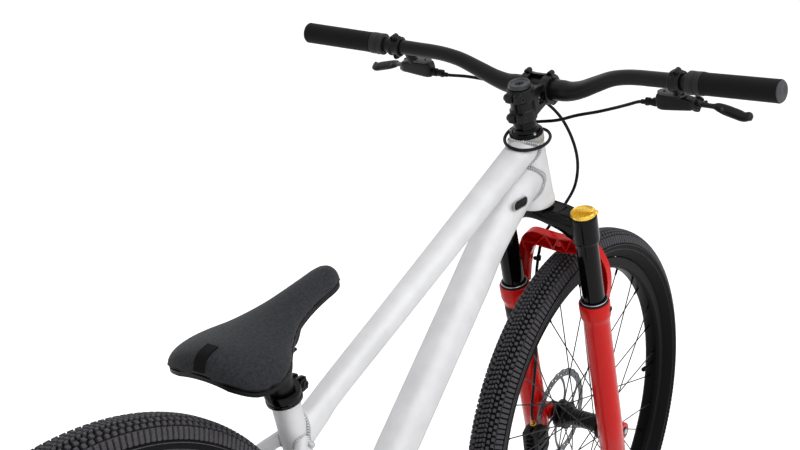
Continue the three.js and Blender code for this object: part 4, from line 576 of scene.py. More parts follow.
def raw_aluminium(looks):
    # Bare brushed tube under a dull clear coat: nearly white, soft shading and faint scratches along the tubes
    material, tree, skin = new_material("raw_brushed_aluminium", looks.frame_colour, 0.27, 0.6, **{
        "Specular IOR Level": 0.15, "Specular Tint": linear("#9a9a9c")})
    clouds = grain(tree, 38, 3.0)
    # Real scratches are near 0.1 mm; drawn at 0.5 mm across so that they show at this distance
    scratches = grain(tree, 0.5, 2.0, (0.03, 1, 0.05))
    rough = add_node(tree, "ShaderNodeMath", {
        0: ranged(tree, clouds.outputs["Fac"], 0.55, 0.6),
        1: ranged(tree, scratches.outputs["Fac"], -0.03, 0.05),
    }, operation="ADD")
    tree.links.new(rough.outputs[0], skin.inputs["Roughness"])
    shade = tinted(tree, ranged(tree, clouds.outputs["Fac"], 0, 1), "#e2e2e4", looks.frame_colour)
    tree.links.new(shade, skin.inputs["Base Color"])
    tree.links.new(bumped(tree, scratches.outputs["Fac"], 0.012), skin.inputs["Normal"])
    return material


def knit_cloth(looks):
    # Tight charcoal saddle knit: fine checked texture, no shine, a slight pale sheen at the rim
    material, tree, skin = new_material("saddle_knit", looks.saddle_colour, 0.0, 0.92, **{
        "Sheen Weight": 0.12, "Sheen Roughness": 0.5, "Specular IOR Level": 0.2,
    })
    place = add_node(tree, "ShaderNodeTexCoord")
    # The real yarn is about 0.4 mm wide; drawn at 1.3 mm so that it shows at this distance
    waves = []
    for direction in ("X", "Y"):
        waves.append(add_node(tree, "ShaderNodeTexWave", {
            "Vector": place.outputs["Object"], "Scale": 1 / (6.283 * 1.3 * MM) * 2,
            "Distortion": 0.6, "Detail": 1.0,
        }, bands_direction=direction).outputs["Fac"])
    yarn = add_node(tree, "ShaderNodeMath", {0: waves[0], 1: waves[1]}, operation="MULTIPLY")
    dust = grain(tree, 3.2, 4.0)
    share = ranged(tree, dust.outputs["Fac"], 0.1, 0.9, 0.3, 0.7)
    tree.links.new(tinted(tree, share, "#232427", looks.saddle_colour), skin.inputs["Base Color"])
    first = bumped(tree, yarn.outputs[0], 0.14)
    tree.links.new(bumped(tree, dust.outputs["Fac"], 0.12, 1.0, first), skin.inputs["Normal"])
    return material


def make_materials(looks):
    """Every finish of the bike by a short name."""
    made = {"frame": raw_aluminium(looks), "cloth": knit_cloth(looks)}
    # Weld beads: brighter and smoother than the tube, so each drop catches the light
    made["weld"] = finish("weld_bead", ("#939497", "#c2c3c5"), 0.8, (0.3, 0.42), 1.5, 0.06)
    # Blasted ring under the headset: sandy and dull beside the brushed tube
    made["blasted"] = finish("blasted_aluminium", ("#a8a49d", "#cfccc5"), 0.4, (0.55, 0.7), 1.1, 0.2)
    # Satin anodised black of bar, stem and brakes: soft grey highlights
    made["satin"] = finish("satin_black_anodise", ("#09090a", "#0d0d0f"), 0.1, (0.32, 0.42), 0.5, 0.008, specular=0.19)
    # Machined insides of the stem: the same black with fine tool lines
    made["machined"] = finish("machined_black", ("#2c2d30", "#3e3f43"), 0.7, (0.3, 0.42), 0.8, 0.02, (1, 1, 6))
    # Gloss black of crown, stanchions and seat collar: near mirror with thin edge lights
    made["gloss"] = finish("gloss_black", ("#030303", "#050505"), 0.0, (0.08, 0.13), 6, 0.004, specular=0.12)
    # Sprayed red of the lower legs: deep colour under clear lacquer, a trace of orange peel
    made["red"] = finish("gloss_red_lacquer", [looks.fork_colour] * 2, 0.0, (0.2, 0.26), 9, 0.004, specular=0.18)
    # Anodised aluminium of the damping knob: warm metal
    made["gold"] = finish("gold_anodise", ("#e6ba4a", looks.knob_colour), 0.6, (0.2, 0.3), 1.2, 0.01)
    # Tread rubber of the knobs and thin ridges: dull charcoal, painted much paler than the casing as a painted
    # highlight on the lit knob tops; its tone varies at random
    made["tread"] = finish("tread_rubber_painted_highlight", ("#403e41", "#5a585c"), 0.0, (0.6, 0.78), 2.5, 0.06, specular=0.15)
    # Sidewall rubber of the casing: black rubber painted blacker than the knobs, as painted shade in the gaps between
    # them, with the casing's fine sheen
    made["sidewall"] = finish("sidewall_rubber_painted_gap_shade", ("#08080a", "#0c0c0e"), 0.0, (0.52, 0.66), 1.6, 0.03, specular=0.06)
    # Grip rubber: matt, a very fine skin
    made["grip"] = finish("grip_rubber", ("#0a0a0b", "#101011"), 0.0, (0.56, 0.68), 0.7, 0.03, specular=0.12)
    # Woven label of the saddle tail: flat black beside the charcoal knit
    made["label"] = finish("woven_label", ("#060607", "#0b0b0c"), 0.0, (0.7, 0.8), 0.5, 0.02, specular=0.1)
    # Moulded nylon of base, caps and seals: duller than paint, slight grain
    made["nylon"] = finish("moulded_nylon", ("#0a0a0b", "#0f0f10"), 0.0, (0.46, 0.6), 0.9, 0.03, specular=0.13)
    # Grey moulded end caps, a little paler than the grips
    made["cap"] = finish("grey_nylon", ("#303033", "#3c3c3f"), 0.0, (0.45, 0.55), 0.8, 0.02)
    # Anodised clamp collars beside the grips: dark grey, a little paler than the rubber
    made["collar"] = finish("grey_anodise", ("#1e1e20", "#2a2a2c"), 0.1, (0.42, 0.52), 0.8, 0.02, specular=0.2)
    # Stainless brake rotor: worn satin with turning marks
    made["rotor"] = finish("stainless_rotor", ("#55575a", "#6c6e72"), 1.0, (0.32, 0.46), 1.0, 0.01)
    # Zinc plated and stainless screws, axle ends and springs
    made["steel"] = finish("plated_steel", ("#8f9296", "#b1b4b8"), 1.0, (0.22, 0.34), 1.4, 0.01)
    # Black oxide screws: dark but metallic
    made["screw"] = finish("black_oxide_screw", ("#17181a", "#26272a"), 0.9, (0.3, 0.42), 0.9, 0.01)
    # Chain and sprockets: browned dark steel with a film of oil
    made["chain"] = finish("oiled_chain_steel", ("#3c3d40", "#5a5b5e"), 1.0, (0.24, 0.4), 1.8, 0.02)
    # Brass hose fittings
    made["brass"] = finish("brass_fitting", ("#a3803c", "#bf9a52"), 1.0, (0.25, 0.36), 0.8, 0.01)
    # Brake hose jacket: black plastic, satin
    made["hose"] = finish("hose_jacket", ("#09090a", "#0e0e10"), 0.0, (0.32, 0.4), 1.6, 0.01, specular=0.13)
    # Pale rubber-like rim of the port cover
    made["pale"] = finish("pale_plastic", ("#a4a6a9", "#b6b8bb"), 0.0, (0.36, 0.46), 0.9, 0.01)
    # Gloss black spokes and rims are anodised: darker than the bar and smoother
    made["rim"] = finish("black_anodised_rim", ("#070708", "#0a0a0b"), 0.0, (0.36, 0.46), 0.8, 0.008, specular=0.05)
    return made


PALETTE = {}


def mesh_object(name, parts, sharp):
    """One object in metres from shapes and the names of their finishes."""
    mesh = bpy.data.meshes.new(name)
    points, faces, finishes, which = [], [], [], []
    for shape, finish_name in parts:
        if finish_name not in finishes:
            finishes.append(finish_name)
        base = len(points)
        points += [p * MM for p in shape.points]
        faces += [tuple(base + i for i in f) for f in shape.faces]
        which += [finishes.index(finish_name)] * len(shape.faces)
    mesh.from_pydata(points, [], faces)
    mesh.polygons.foreach_set("material_index", which)
    for finish_name in finishes:
        mesh.materials.append(PALETTE[finish_name])
    worked(mesh, lambda work: bmesh.ops.remove_doubles(work, verts=work.verts, dist=1e-7), face_outward)
    mesh.shade_smooth()
    mesh.set_sharp_from_angle(angle=math.radians(sharp))
    made = bpy.data.objects.new(name, mesh)
    bpy.context.scene.collection.objects.link(made)
    return made


def piece(name, body, parts, sharp=38):
    """One visible piece, with the body that it rides on; a blended piece rides on none."""
    made = mesh_object(name, parts, sharp)
    if body:
        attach(made, body)
    return made


def stand_in(node, body, parts, sharp=38):
    """A piece that is shown in place of a solid of the CAD."""
    made = piece(f"{node}_looks", body, parts, sharp)
    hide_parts(node)
    return made


STEER = placed(STEER_FOOT, STEER_FORWARD, SIDE)
SEAT = placed(BOTTOM_BRACKET, SEAT_FORWARD, SIDE)
SADDLE = placed(on_seat_tube(RAIL_HEIGHT), SADDLE_FORWARD, SIDE)


def on_side(shape, way):
    """A left shape of the steering frame, or its mirror image for way -1, in the bike's frame."""
    return (shape if way > 0 else shape.mirrored()).moved(STEER)


def both(shape):
    """A left shape with its mirror image."""
    return joined([shape, shape.mirrored()])


# Frame


def frame_rings(stations, steps, power=0.92, sides=48):
    return oval_rings(smooth_stations(stations, steps), UP, sides, power)


def first_meeting(rings, *targets):
    """Where each long line of a tube's skin first meets other shapes, as a loop of points."""
    tree = tree_of(joined([Shape(t.points, t.faces) for t in targets]))
    loop = []
    for k in range(len(rings[0])):
        for low, high in zip(rings, rings[1:]):
            run = high[k] - low[k]
            hit = tree.ray_cast(low[k], run, run.length)[0]
            if hit is not None:
                loop.append(hit)
                break
    return loop


def groove(rings, other, core):
    """The lines along a tube where its skin dives into another shape; core is a point inside that shape."""
    tree = tree_of(other)

    def depth(point):
        spot, normal = tree.find_nearest(point)[:2]
        return (point - spot).dot(normal)

    way = 1 if depth(core) > 0 else -1
    lines = {-1: [], 1: []}
    for ring_points in rings:
        depths = [way * depth(p) for p in ring_points]
        for k, p in enumerate(ring_points):
            j = (k + 1) % len(ring_points)
            if (depths[k] > 0) != (depths[j] > 0):
                t = depths[k] / (depths[k] - depths[j])
                q = p.lerp(ring_points[j], t)
                lines[1 if q.y > 0 else -1].append(q)
    return [line for line in lines.values() if len(line) > 5]


def top_tube_rings():
    start, end = on_seat_tube(250), on_steering(562, -6)
    stations = []
    for share, flare_share in ((0, 1), (0.07, 0.5), (0.12, 0), (0.35, 0), (0.65, 0), (0.87, 0), (1, 0)):
        flare = 5.5 * flare_share
        at = start.lerp(end, share) - UP * flare
        stations.append((at, mixed(17, 24, share**1.5), mixed(17, 19, share) + flare))
    return frame_rings(stations, 60)


def down_tube_rings():
    head = on_steering(507)
    knee = head - Vector((42.4, 0, 23.8))
    bend = knee - Vector((76, 0, 64))
    stations = [
        (BOTTOM_BRACKET.lerp(bend, 0.02), 28, 28), (BOTTOM_BRACKET.lerp(bend, 0.5), 28, 28),
        (BOTTOM_BRACKET.lerp(bend, 0.88), 28, 28), (bend + UP * 2, 26.8, 27.6), (knee + UP * 5, 25.4, 28.6),
        (head + UP * 5, 25.2, 28.6),
    ]
    return frame_rings(stations, 60, 1.0)


def head_tube_shape():
    profile = [
        (21.5, 461), (28.4, 461), (29, 461.8), (29, 469), (28.3, 470.2), (27.7, 482), (26.4, 515),
        (25, 548), (24.7, 564), (24.7, 566.5), (21.5, 566.5),
    ]
    return lathe(profile, STEER_FOOT, STEER_UP, 64, True)


def seat_tube_shape():
    profile = [(17.45, 8), (17.45, 321.5), (17, 322), (15.8, 322), (15.8, 140)]
    return lathe(profile, BOTTOM_BRACKET, SEAT_UP, 56)


def stay_stations(front, back, places, spreads, sizes, wide, tall, root, tyre, end, rise=0.0):
    stations = []
    for place, spread, size in zip(places, spreads, sizes):
        at = front.lerp(back, place) + UP * rise * (1 - place)
        at.y = mixed(root, tyre, spread) if spread <= 1 else mixed(tyre, end, spread - 1)
        stations.append((at, wide * size[0], tall * size[1]))
    return stations


def chainstay_rings():
    sizes = [(1, 0.6), (1, 0.9), (1, 1), (1, 1), (1, 1), (0.9, 0.85)]
    stations = stay_stations(BOTTOM_BRACKET, REAR_AXLE, (0.02, 0.13, 0.23, 0.45, 0.7, 0.93),
                             (0, 0.3, 1, 1.3, 1.68, 2), sizes, 7, 11, 24, 44.5, 64, 4)
    return frame_rings(stations, 48, 0.9, 32)


def seatstay_rings():
    low = REAR_AXLE + Vector((62 / 3, 0, 10.5))
    sizes = [(1, 1), (1, 1), (1, 1), (0.95, 0.95), (0.8, 0.8)]
    stations = stay_stations(on_seat_tube(252), low, (0.0, 0.14, 0.25, 0.6, 1),
                             (-0.3, 0.8, 1, 1.5, 2), sizes, 8, 9, 19, 43, 65)
    return frame_rings(stations, 48, 0.95, 32)


def dropout_shape():
    """Left dropout: a plate round the axle slot with its neck to the chain stay."""
    outline = arc(21, 21, 62, 298, 24) + [(26, -14), (62, -12), (66, -6), (66, 8), (60, 12), (40, 15), (22, 17)]
    hole = slot_outline(5, 5.7, (-4, 0))
    matrix = upright(REAR_AXLE + SIDE * 70.5)
    return plate([outline, hole], 6, matrix, 0.7)


def port_matrix():
    head, low = on_steering(507), on_steering(507, -78)
    along = (head - low).normalized()
    turn = Matrix.Rotation(math.radians(12), 4, "Z")
    return placed(low - SIDE * 25.4, along, along.cross(SIDE) * -1) @ turn


def make_frame_tubes(looks):
    top, down = top_tube_rings(), down_tube_rings()
    head, seat = head_tube_shape(), seat_tube_shape()
    shell = lathe([(18, -36.5), (22, -36.5), (22.5, -36), (22.5, 36), (22, 36.5), (18, 36.5)],
                  BOTTOM_BRACKET, SIDE, 56, True)
    top_shape, down_shape = loft(top), loft(down)
    blasted = lathe([(21.5, 566.5), (25.2, 566.5), (25.5, 567), (25.5, 576.5), (25, 577), (21.5, 577)],
                    STEER_FOOT, STEER_UP, 64, True)
    stand_in("head_tube", "frame", [(head, "frame"), (blasted, "blasted")])
    stand_in("top_tube", "frame", [(top_shape, "frame")])
    stand_in("down_tube", "frame", [(down_shape, "frame")])
    keyhole = circle(2.3, 16, (0, 0), math.pi / 2 + 0.4)[:-2] + [(0.6, 15), (-0.6, 15)]
    spot = SEAT @ placed(Vector((17.15, 0, 291)), (0, 1, 0), (0, 0, 1))
    stand_in("seat_tube", "frame", [(seat, "frame"), (plate([keyhole], 1.2, spot, 0.1), "gloss")])
    stand_in("bottom_bracket_shell", "frame", [(shell, "frame")])
    chainstay, seatstay = chainstay_rings(), seatstay_rings()
    for name, way in SIDES:
        shapes = [joined([loft(chainstay), dropout_shape()]), loft(seatstay)]
        if way < 0:
            shapes = [s.mirrored() for s in shapes]
        stand_in(f"{name}_chainstay", "frame", [(shapes[0], "frame")])
        stand_in(f"{name}_seatstay", "frame", [(shapes[1], "frame")])
    beads = [
        bead(first_meeting(top, head, down_shape, blasted), looks.bead_radius),
        bead(first_meeting(down, head), looks.bead_radius),
        bead(first_meeting(list(reversed(top)), seat), looks.bead_radius),
        bead(first_meeting(list(reversed(down)), shell, seat), looks.bead_radius),
    ]
    loop = [on_seat_tube(21.5, 17.6 * math.cos(a), 17.6 * math.sin(a)) for a in
            (TAU * k / 40 for k in range(40))]
    beads.append(bead(loop, 2.2))
    for line in groove(top[30:-3], down_shape, on_steering(507, -30)):
        beads.append(bead(line, looks.bead_radius * 0.8, closed=False))
    for rings, targets in ((list(reversed(chainstay)), (shell, seat)), (list(reversed(seatstay)), (seat, top_shape))):
        line = first_meeting(rings, *targets)
        if len(line) > 6:
            beads.append(both(bead(line, 2.0)))
    end_ring = [p + SIDE * 0.2 for p in chainstay[-3]]
    beads.append(both(bead(end_ring, 1.6)))
    piece("weld_beads", "frame", [(joined(beads), "weld")], 60)


def make_port_cover():
    matrix = port_matrix()

    def strip(half_run, radius, depth, thickness, bevel=0.3):
        return plate([slot_outline(half_run, radius)], thickness, matrix @ Matrix.Translation((0, 0, depth)), bevel)

    rim = plate([slot_outline(11, 8), slot_outline(11, 6.6)], 2.4, matrix, 0.5)
    cover = strip(11, 6.7, 0, 1.4)
    slit = strip(4.4, 1.3, 0.7, 0.4, 0.1)
    screws = [bolt(matrix @ Vector((x, 0, 0.4)), -SIDE, 2.6, 0.9, 0.5, 18) for x in (-10, 10)]
    stand_in("cable_port_cover", "frame", [(rim, "pale"), (cover, "nylon"), (slit, "gloss"),
                                              (joined(screws), "screw")])


def make_headset():
    cup = lathe([(19.9, 462.5), (21.2, 462.5), (21.2, 471.5), (19.9, 471.5)], STEER_FOOT, STEER_UP, 48, True)
    stand_in("headset_lower_bearing", "frame", [(cup, "steel")])
    cone = lathe([(14.8, 577.3), (25, 577.3), (25.5, 577.9), (25.5, 582.2), (24.9, 583), (23.4, 583.2), (23, 584.6),
                  (22.4, 585.2), (19.6, 585.6), (18.6, 587), (18.2, 590.6), (14.8, 590.6)], STEER_FOOT, STEER_UP, 64,
                 True)
    inner = lathe([(14.8, 568.6), (18, 568.6), (18, 577.3), (14.8, 577.3)], STEER_FOOT, STEER_UP, 48, True)
    edge = lathe([(25.4, 577.4), (25.75, 577.9), (25.75, 578.7), (25.4, 579.2)], STEER_FOOT, STEER_UP, 64, True)
    spacer = lathe([(14.8, 590.9), (17.2, 590.9), (17.6, 591.3), (17.6, 602.6), (17.2, 603), (14.8, 603)],
                   STEER_FOOT, STEER_UP, 64, True)
    # Two small steel nubs on the flange stand in for the two bright glints on the gloss black cover: painted
    # highlights
    painted_glint_nubs = joined([bolt(on_steering(584.6, -9, side * 20), STEER_UP, 2.6, 1.8, 0.4, 18) for side in (-1, 1)])
    stand_in("headset_cover", "steering", [
        (joined([cone, inner, spacer]), "gloss"), (joined([edge, painted_glint_nubs]), "steel")])


# Seat cluster


def make_seat_clamp():
    low = SEAT_TUBE_TOP - 15
    body = lathe([(17.7, low), (21.6, low), (22.5, low + 0.9), (22.5, low + 4.6), (21.5, low + 5.6),
                  (21.5, low + 8.2), (22.5, low + 9.2), (22.5, low + 15.2), (21.6, low + 16.6), (16.2, low + 16.6),
                  (16.2, low + 15.6), (17.7, low + 15.4)], BOTTOM_BRACKET, SEAT_UP, 64, True)
    ears = []
    for side in (-1, 1):
        place = SEAT @ Matrix.Translation((26, side * 6.3, low + 6.6))
        ears.append(block((13.4, 10.6, 18.6), place, 2))
    screw = bolt(on_seat_tube(low + 6.6, 27, -11.4), -SIDE, 4.6, 1.8)
    nut = lathe([(4.2, 0), (4.2, 1.2), (3.4, 2)], on_seat_tube(low + 6.6, 27, 11.2), SIDE, 24)
    stand_in("seat_clamp", "frame", [(joined([body, *ears]), "gloss"), (joined([screw, nut]), "screw")])


def make_seatpost():
    post = lathe([(15.4, 132), (15.4, 366), (15, 368), (13.4, 372), (13.4, 128), (15, 132)],
                 BOTTOM_BRACKET, SEAT_UP, 56, True)
    neck = oval_tube(smooth_stations([
        (on_seat_tube(358), 14.8, 14.8), (on_seat_tube(368), 15.2, 14.6), (on_seat_tube(376), 19, 13),
        (on_seat_tube(381), 21, 11)], 14), SEAT_FORWARD, 40)
    cradle = lathe([(4.5, -24.5), (8.3, -24.5), (8.8, -24), (8.8, -18.6), (7, -18), (7, 18), (8.8, 18.6),
                    (8.8, 24), (8.3, 24.5), (4.5, 24.5)], SADDLE @ Vector((0, 0, -5.5)), SIDE, 40, True)
    clamps, screws = [], []
    for side in (-1, 1):
        clamps.append(block((34, 9, 4.4), SADDLE @ Matrix.Translation((0, side * 22, 5.6)), 1.2))
        clamps.append(block((32, 8.4, 4.4), SADDLE @ Matrix.Translation((0, side * 22, -5.6)), 1.2))
    bridge = block((9, 40, 4), SADDLE @ Matrix.Translation((0, 0, 6)), 1)
    for fore in (-1, 1):
        axis = (SADDLE_UP * -1 + SADDLE_FORWARD * fore * 0.1).normalized()
        screws.append(rod(SADDLE @ Vector((fore * 15, 0, 7)), SADDLE @ Vector((fore * 15, 0, -19)), 2.4, 16))
        screws.append(bolt(SADDLE @ Vector((fore * 15, 0, -15)), axis, 4.2, 4.2))
        screws.append(lathe([(4.6, 0), (4.6, 4.2), (3.8, 5)], SADDLE @ Vector((fore * 15, 0, 5.2)), SADDLE_UP, 24))
        clamps.append(block((9, 12, 4), SADDLE @ Matrix.Translation((fore * 14, 0, -10)), 1))
    stand_in("seatpost", "seatpost", [(joined([post, neck, cradle, bridge, *clamps]), "satin"),
                                         (joined(screws), "screw")])


SADDLE_ROWS = [
    # share of the length, and the parts of the full width, droop and thickness there
    (0, 0.42, 0.2, 0.3), (0.012, 0.6, 0.4, 0.62), (0.035, 0.78, 0.66, 0.85), (0.07, 0.9, 0.88, 0.96),
    (0.13, 0.98, 1, 1), (0.2, 1, 1, 0.93), (0.28, 0.93, 0.9, 0.85), (0.38, 0.71, 0.65, 0.79),
    (0.48, 0.53, 0.4, 0.79), (0.58, 0.4, 0.25, 0.83), (0.7, 0.315, 0.18, 0.9), (0.82, 0.275, 0.12, 0.92),
    (0.9, 0.262, 0.1, 0.92), (0.94, 0.235, 0.1, 0.88), (0.97, 0.19, 0.12, 0.78), (0.99, 0.125, 0.16, 0.56),
    (1, 0.05, 0.2, 0.3),
]
SADDLE_FINE = [
    (place.x, place.y, place.z, thick.y) for place, thick in zip(
        smooth_line([row[:3] for row in SADDLE_ROWS], 192),
        smooth_line([(row[0], row[3], 0) for row in SADDLE_ROWS], 192))
]


def saddle_section(share):
    """Half width, droop and thickness of the saddle at a share of its length."""
    width, droop, thick = between(SADDLE_FINE, share)
    return 77.5 * width, 14.5 * droop, 24 * thick


def saddle_low(y, width, droop):
    return 27 - droop * (y / width) ** 2


def saddle_shares(steps):
    """Shares of length, closer together at the tail and the nose."""
    return [0.5 - 0.5 * math.cos(math.pi * i / steps) for i in range(steps + 1)]


def saddle_rings(steps, sides):
    rings = []
    for share in saddle_shares(steps):
        width, droop, thick = saddle_section(share)
        x = -108 + 234 * share
        points = []
        for k in range(sides):
            a = TAU * k / sides
            c, s = math.cos(a), math.sin(a)
            y = width * math.copysign(abs(c) ** 0.9, c)
            rise = thick * s**0.8 if s > 0 else 0.6 * s
            points.append(Vector((x, y, saddle_low(y, width, droop) + rise)))
        rings.append(points)
    return rings


def inflate(made, held):
    """Lets a soft skin swell under gentle pressure; the points in held stay where they are."""
    group = made.vertex_groups.new(name="held")
    group.add(held, 1.0, "REPLACE")
    before = [v.co.copy() for v in made.data.vertices]
    cloth = made.modifiers.new("cloth", "CLOTH")
    for name, value in {
        "quality": 6, "mass": 0.3, "tension_stiffness": 40, "compression_stiffness": 40, "bending_stiffness": 8,
        "use_pressure": True, "uniform_pressure_force": 4, "vertex_group_mass": "held",
    }.items():
        setattr(cloth.settings, name, value)
    cloth.settings.effector_weights.gravity = 0
    frames = 20
    cloth.point_cache.frame_start, cloth.point_cache.frame_end = 1, frames
    scene = bpy.context.scene
    for number in range(1, frames + 1):
        scene.frame_set(number)
    graph = bpy.context.evaluated_depsgraph_get()
    settled = [v.co.copy() for v in made.evaluated_get(graph).data.vertices]
    made.modifiers.remove(cloth)
    scene.frame_set(1)
    most = 2.5 * MM
    for vertex, old, new in zip(made.data.vertices, before, settled):
        move = new - old
        if move.length > most:
            move = move.normalized() * most
        vertex.co = old + move
    made.data.update()


def make_saddle():
    rails = []
    for side in (1, -1):
        half = [(-79.9, 28.6, 13.85), (-58.9, 26.4, 8.7), (-37.8, 22, 0), (-28.3, 22, 0), (13, 22, 0),
                (22, 19.5, 1.5), (42, 11.5, 11), (62, 7, 19)]
        rails.append([(x, side * y, z) for x, y, z in half])
    route = rails[0] + [(70, 0, 20)] + rails[1][::-1]
    rod_shape = tube(smooth_line(route, 110), 3.5, 20).moved(SADDLE)
    stand_in("saddle_rails", "seatpost", [(rod_shape, "satin")])
    rings = []
    for share in saddle_shares(44)[2:-2]:
        width, droop, _ = saddle_section(share)
        x = -108 + 234 * share
        top, low = [], []
        for k in range(25):
            y = mixed(-1, 1, k / 24) * (width - 2.4)
            height = saddle_low(y, width, droop) - 0.7
            top.append(Vector((x, y, height)))
            low.insert(0, Vector((x, y, height - 6)))
        rings.append(top + low)
    base = loft(rings)
    sockets = [block((16, 12, 9), Matrix.Translation((-84, side * 28.6, 15.5)), 2) for side in (-1, 1)]
    sockets.append(block((18, 26, 8), Matrix.Translation((74, 0, 18.4)), 2))
    stand_in("saddle_base", "seatpost", [(joined([base, *sockets]).moved(SADDLE), "nylon")])
    pad = loft(saddle_rings(64, 56)).moved(SADDLE)
    cover = mesh_object("saddle_pad_looks", [(pad, "cloth")], 80)
    skin = voxel_skin(cover, 4)
    cover.data = skin
    inverse = SADDLE.inverted()
    held = []
    for vertex in skin.vertices:
        place = inverse @ (vertex.co / MM)
        share = (place.x + 108) / 234
        width, droop, thick = saddle_section(max(0, min(1, share)))
        if place.z - saddle_low(place.y, width, droop) < 0.32 * thick:
            held.append(vertex.index)
    inflate(cover, held)
    worked(cover.data, relax, relax)
    cover.data.shade_smooth()
    smoothing = cover.modifiers.new("smoothing", "SUBSURF")
    smoothing.levels = smoothing.render_levels = 1
    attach(cover, "seatpost")
    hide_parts("saddle_pad")
    edge = []
    for side in (1, -1):
        line = []
        for share in saddle_shares(60)[1:-1]:
            width, droop, thick = saddle_section(share)
            y = side * (width + 0.25)
            line.append(Vector((-108 + 234 * share, y, 27 - droop + 0.4 + thick * 0.04)))
        edge.append(line if side > 0 else line[::-1])
    # The welt lies on the finished cover, half sunk into it
    skin = cover.data
    tree = BVHTree.FromPolygons([v.co for v in skin.vertices], [tuple(p.vertices) for p in skin.polygons])
    on_cover = [tree.find_nearest((SADDLE @ p) * MM)[0] / MM for p in edge[0] + edge[1]]
    welt = tube(on_cover, 0.9, 8, True)
    piece("saddle_edge_welt", "seatpost", [(welt, "nylon")], 60)
    rows = []
    for across in (-1, 1):
        strip = []
        for i in range(13):
            share = mixed(0.115, -0.004, i / 12)
            width, droop, thick = saddle_section(max(0, share))
            y = across * 8
            c = min(0.999, abs(y) / width) ** (1 / 0.9)
            rise = thick * max(0.0, 1 - c * c) ** 0.4
            strip.append(Vector((-108 + 234 * share - 0.5, y, saddle_low(y, width, droop) + rise + 1.4)))
        rows.append(strip)
    tag = Shape()
    for (a, b), (c, d) in zip(zip(rows[0], rows[0][1:]), zip(rows[1], rows[1][1:])):
        tag.add(Shape([a, b, d, c, a - UP * 1.6, b - UP * 1.6, d - UP * 1.6, c - UP * 1.6], [
            (0, 1, 2, 3), (7, 6, 5, 4), (0, 4, 5, 1), (3, 2, 6, 7)]))
    piece("saddle_tail_tag", "seatpost", [(tag.moved(SADDLE), "label")], 60)


# Cockpit, in the steering frame


def bar_point(y):
    share = abs(y) / BAR_HALF
    sweep, rise, _ = between(BAR_STATIONS, share)
    return Vector((BAR_REACH - BAR_SWEEP * sweep, y, BAR_HEIGHT + BAR_RISE * rise))


def make_stem():
    column = lathe([(14.7, 603.3), (18.6, 603.3), (20, 604.4), (20, 619.6), (18.8, 621), (17.4, 622.4), (17.4, 633.6),
                    (18.8, 635), (20, 636.4), (20, 652.6), (18.6, 654.3), (14.7, 654.3)], (0, 0, 0), UP, 56, True)
    outline = [(2, 608), (20, 611), (33, 612.5), (42, 608), (50.5, 606.8), (50.5, 612.7), (43, 614.5),
               (37, 619), (35, 629), (37, 639), (43, 643.5), (50.5, 645.3), (50.5, 651.2), (42, 650),
               (33, 645.5), (20, 649), (2, 650.5)]
    window = [(14, 622), (27, 620), (31.5, 623), (31.5, 635), (27, 638), (14, 634)]
    cheeks = []
    for y in (-16, 16):
        matrix = upright(Vector((0, y, 0)))
        cheeks.append(plate([outline, window], 9, matrix, 0.8))
    heart = [(2, 608), (20, 611), (25, 612), (25, 647.4), (20, 649), (2, 650.5)]
    middle = plate([heart], 24, upright(Vector((0, 0, 0))), 0.6)
    wide = []
    for y in (-21, 21):
        band = arc(22.5, 22.5, 92, 268, 20, (BAR_REACH, BAR_HEIGHT))
        band += arc(16.4, 16.4, 268, 92, 20, (BAR_REACH, BAR_HEIGHT))
        wide.append(plate([band], 6, upright(Vector((0, y, 0))), 0.5))
    screws, bosses = [], []
    for up in (612, 644.4):
        for side in (-1, 1):
            bosses.append(block((15, 12.6, 15.4), Matrix.Translation((-17.6, side * 7.5, up)), 2.4))
            screws.append(bolt(Vector((-19, side * 13.4, up)), SIDE * side, 5, 2.2))
    slit = block((3.2, 2.4, 50.5), Matrix.Translation((-18.4, 0, 628.8)), 0.1)
    stand_in("stem", "steering", [
        (fused(joined([column, middle, *cheeks, *wide, *bosses]), 0.65, 1).moved(STEER), "satin"),
        (slit.moved(STEER), "gloss"), (joined(screws).moved(STEER), "screw")], 38)
    front = BAR_REACH + 0.8, BAR_HEIGHT
    band = arc(21.7, 22.5, -90, 90, 24, front) + arc(15.6, 16.3, 90, -90, 24, front)
    bands = [plate([band], 13, upright(Vector((0, y, 0))), 0.9) for y in (-17.5, 17.5)]
    bands.append(plate([band], 24, upright(Vector((-1.2, 0, 0))), 0.4))
    heads = []
    for y in (-19.2, 19.2):
        for up in (606.6, 651.4):
            bands.append(rod((51.8, y, up), (58.5, y, up), 4.7, 32))
            heads.append(knurled(Vector((58.5, y, up)), (1, 0, 0), 4.3, 4.2))
    stand_in("stem_faceplate", "steering", [(joined(bands).moved(STEER), "satin"),
                                               (joined(heads).moved(STEER), "screw")])
    cap = lathe([(15.4, 654.6), (16.5, 655.6), (16.5, 660.2), (15.6, 661.5), (13.6, 661.6), (12.8, 660.4),
                 (6.4, 659.6), (5.8, 657.6), (0.1, 657.4)], (0, 0, 0), UP, 56)
    plug = lathe([(10.5, 640.8), (10.5, 654.6)], (0, 0, 0), UP, 40)
    screw = bolt(Vector((0, 0, 657.4)), UP, 5.2, 2.2, 0.5)
    stand_in("top_cap", "steering", [(joined([cap, plug]).moved(STEER), "machined"),
                                        (screw.moved(STEER), "screw")])


def make_handlebar():
    shares = [0, 0.05, 0.1, 0.14, 0.19, 0.26, 0.33, 0.39, 0.45, 0.5, 0.6, 0.75, 0.9, 1]
    half = []
    for share in shares:
        taper = between(BAR_STATIONS, share)[2]
        half.append((bar_point(share * BAR_HALF), mixed(BAR_MIDDLE_RADIUS, BAR_END_RADIUS, taper), 0))
    other = [(Vector((p.x, -p.y, p.z)), r, 0) for p, r, _ in half[1:]][::-1]
    fine = smooth_stations(other + half, 180)
    shape = tube([s[0] for s in fine], [s[1] for s in fine], 40).moved(STEER)
    stand_in("handlebar", "steering", [(shape, "satin")], 60)


def grip_run():
    start, end = bar_point(280), bar_point(395.5)
    return start, (end - start).normalized(), (end - start).length


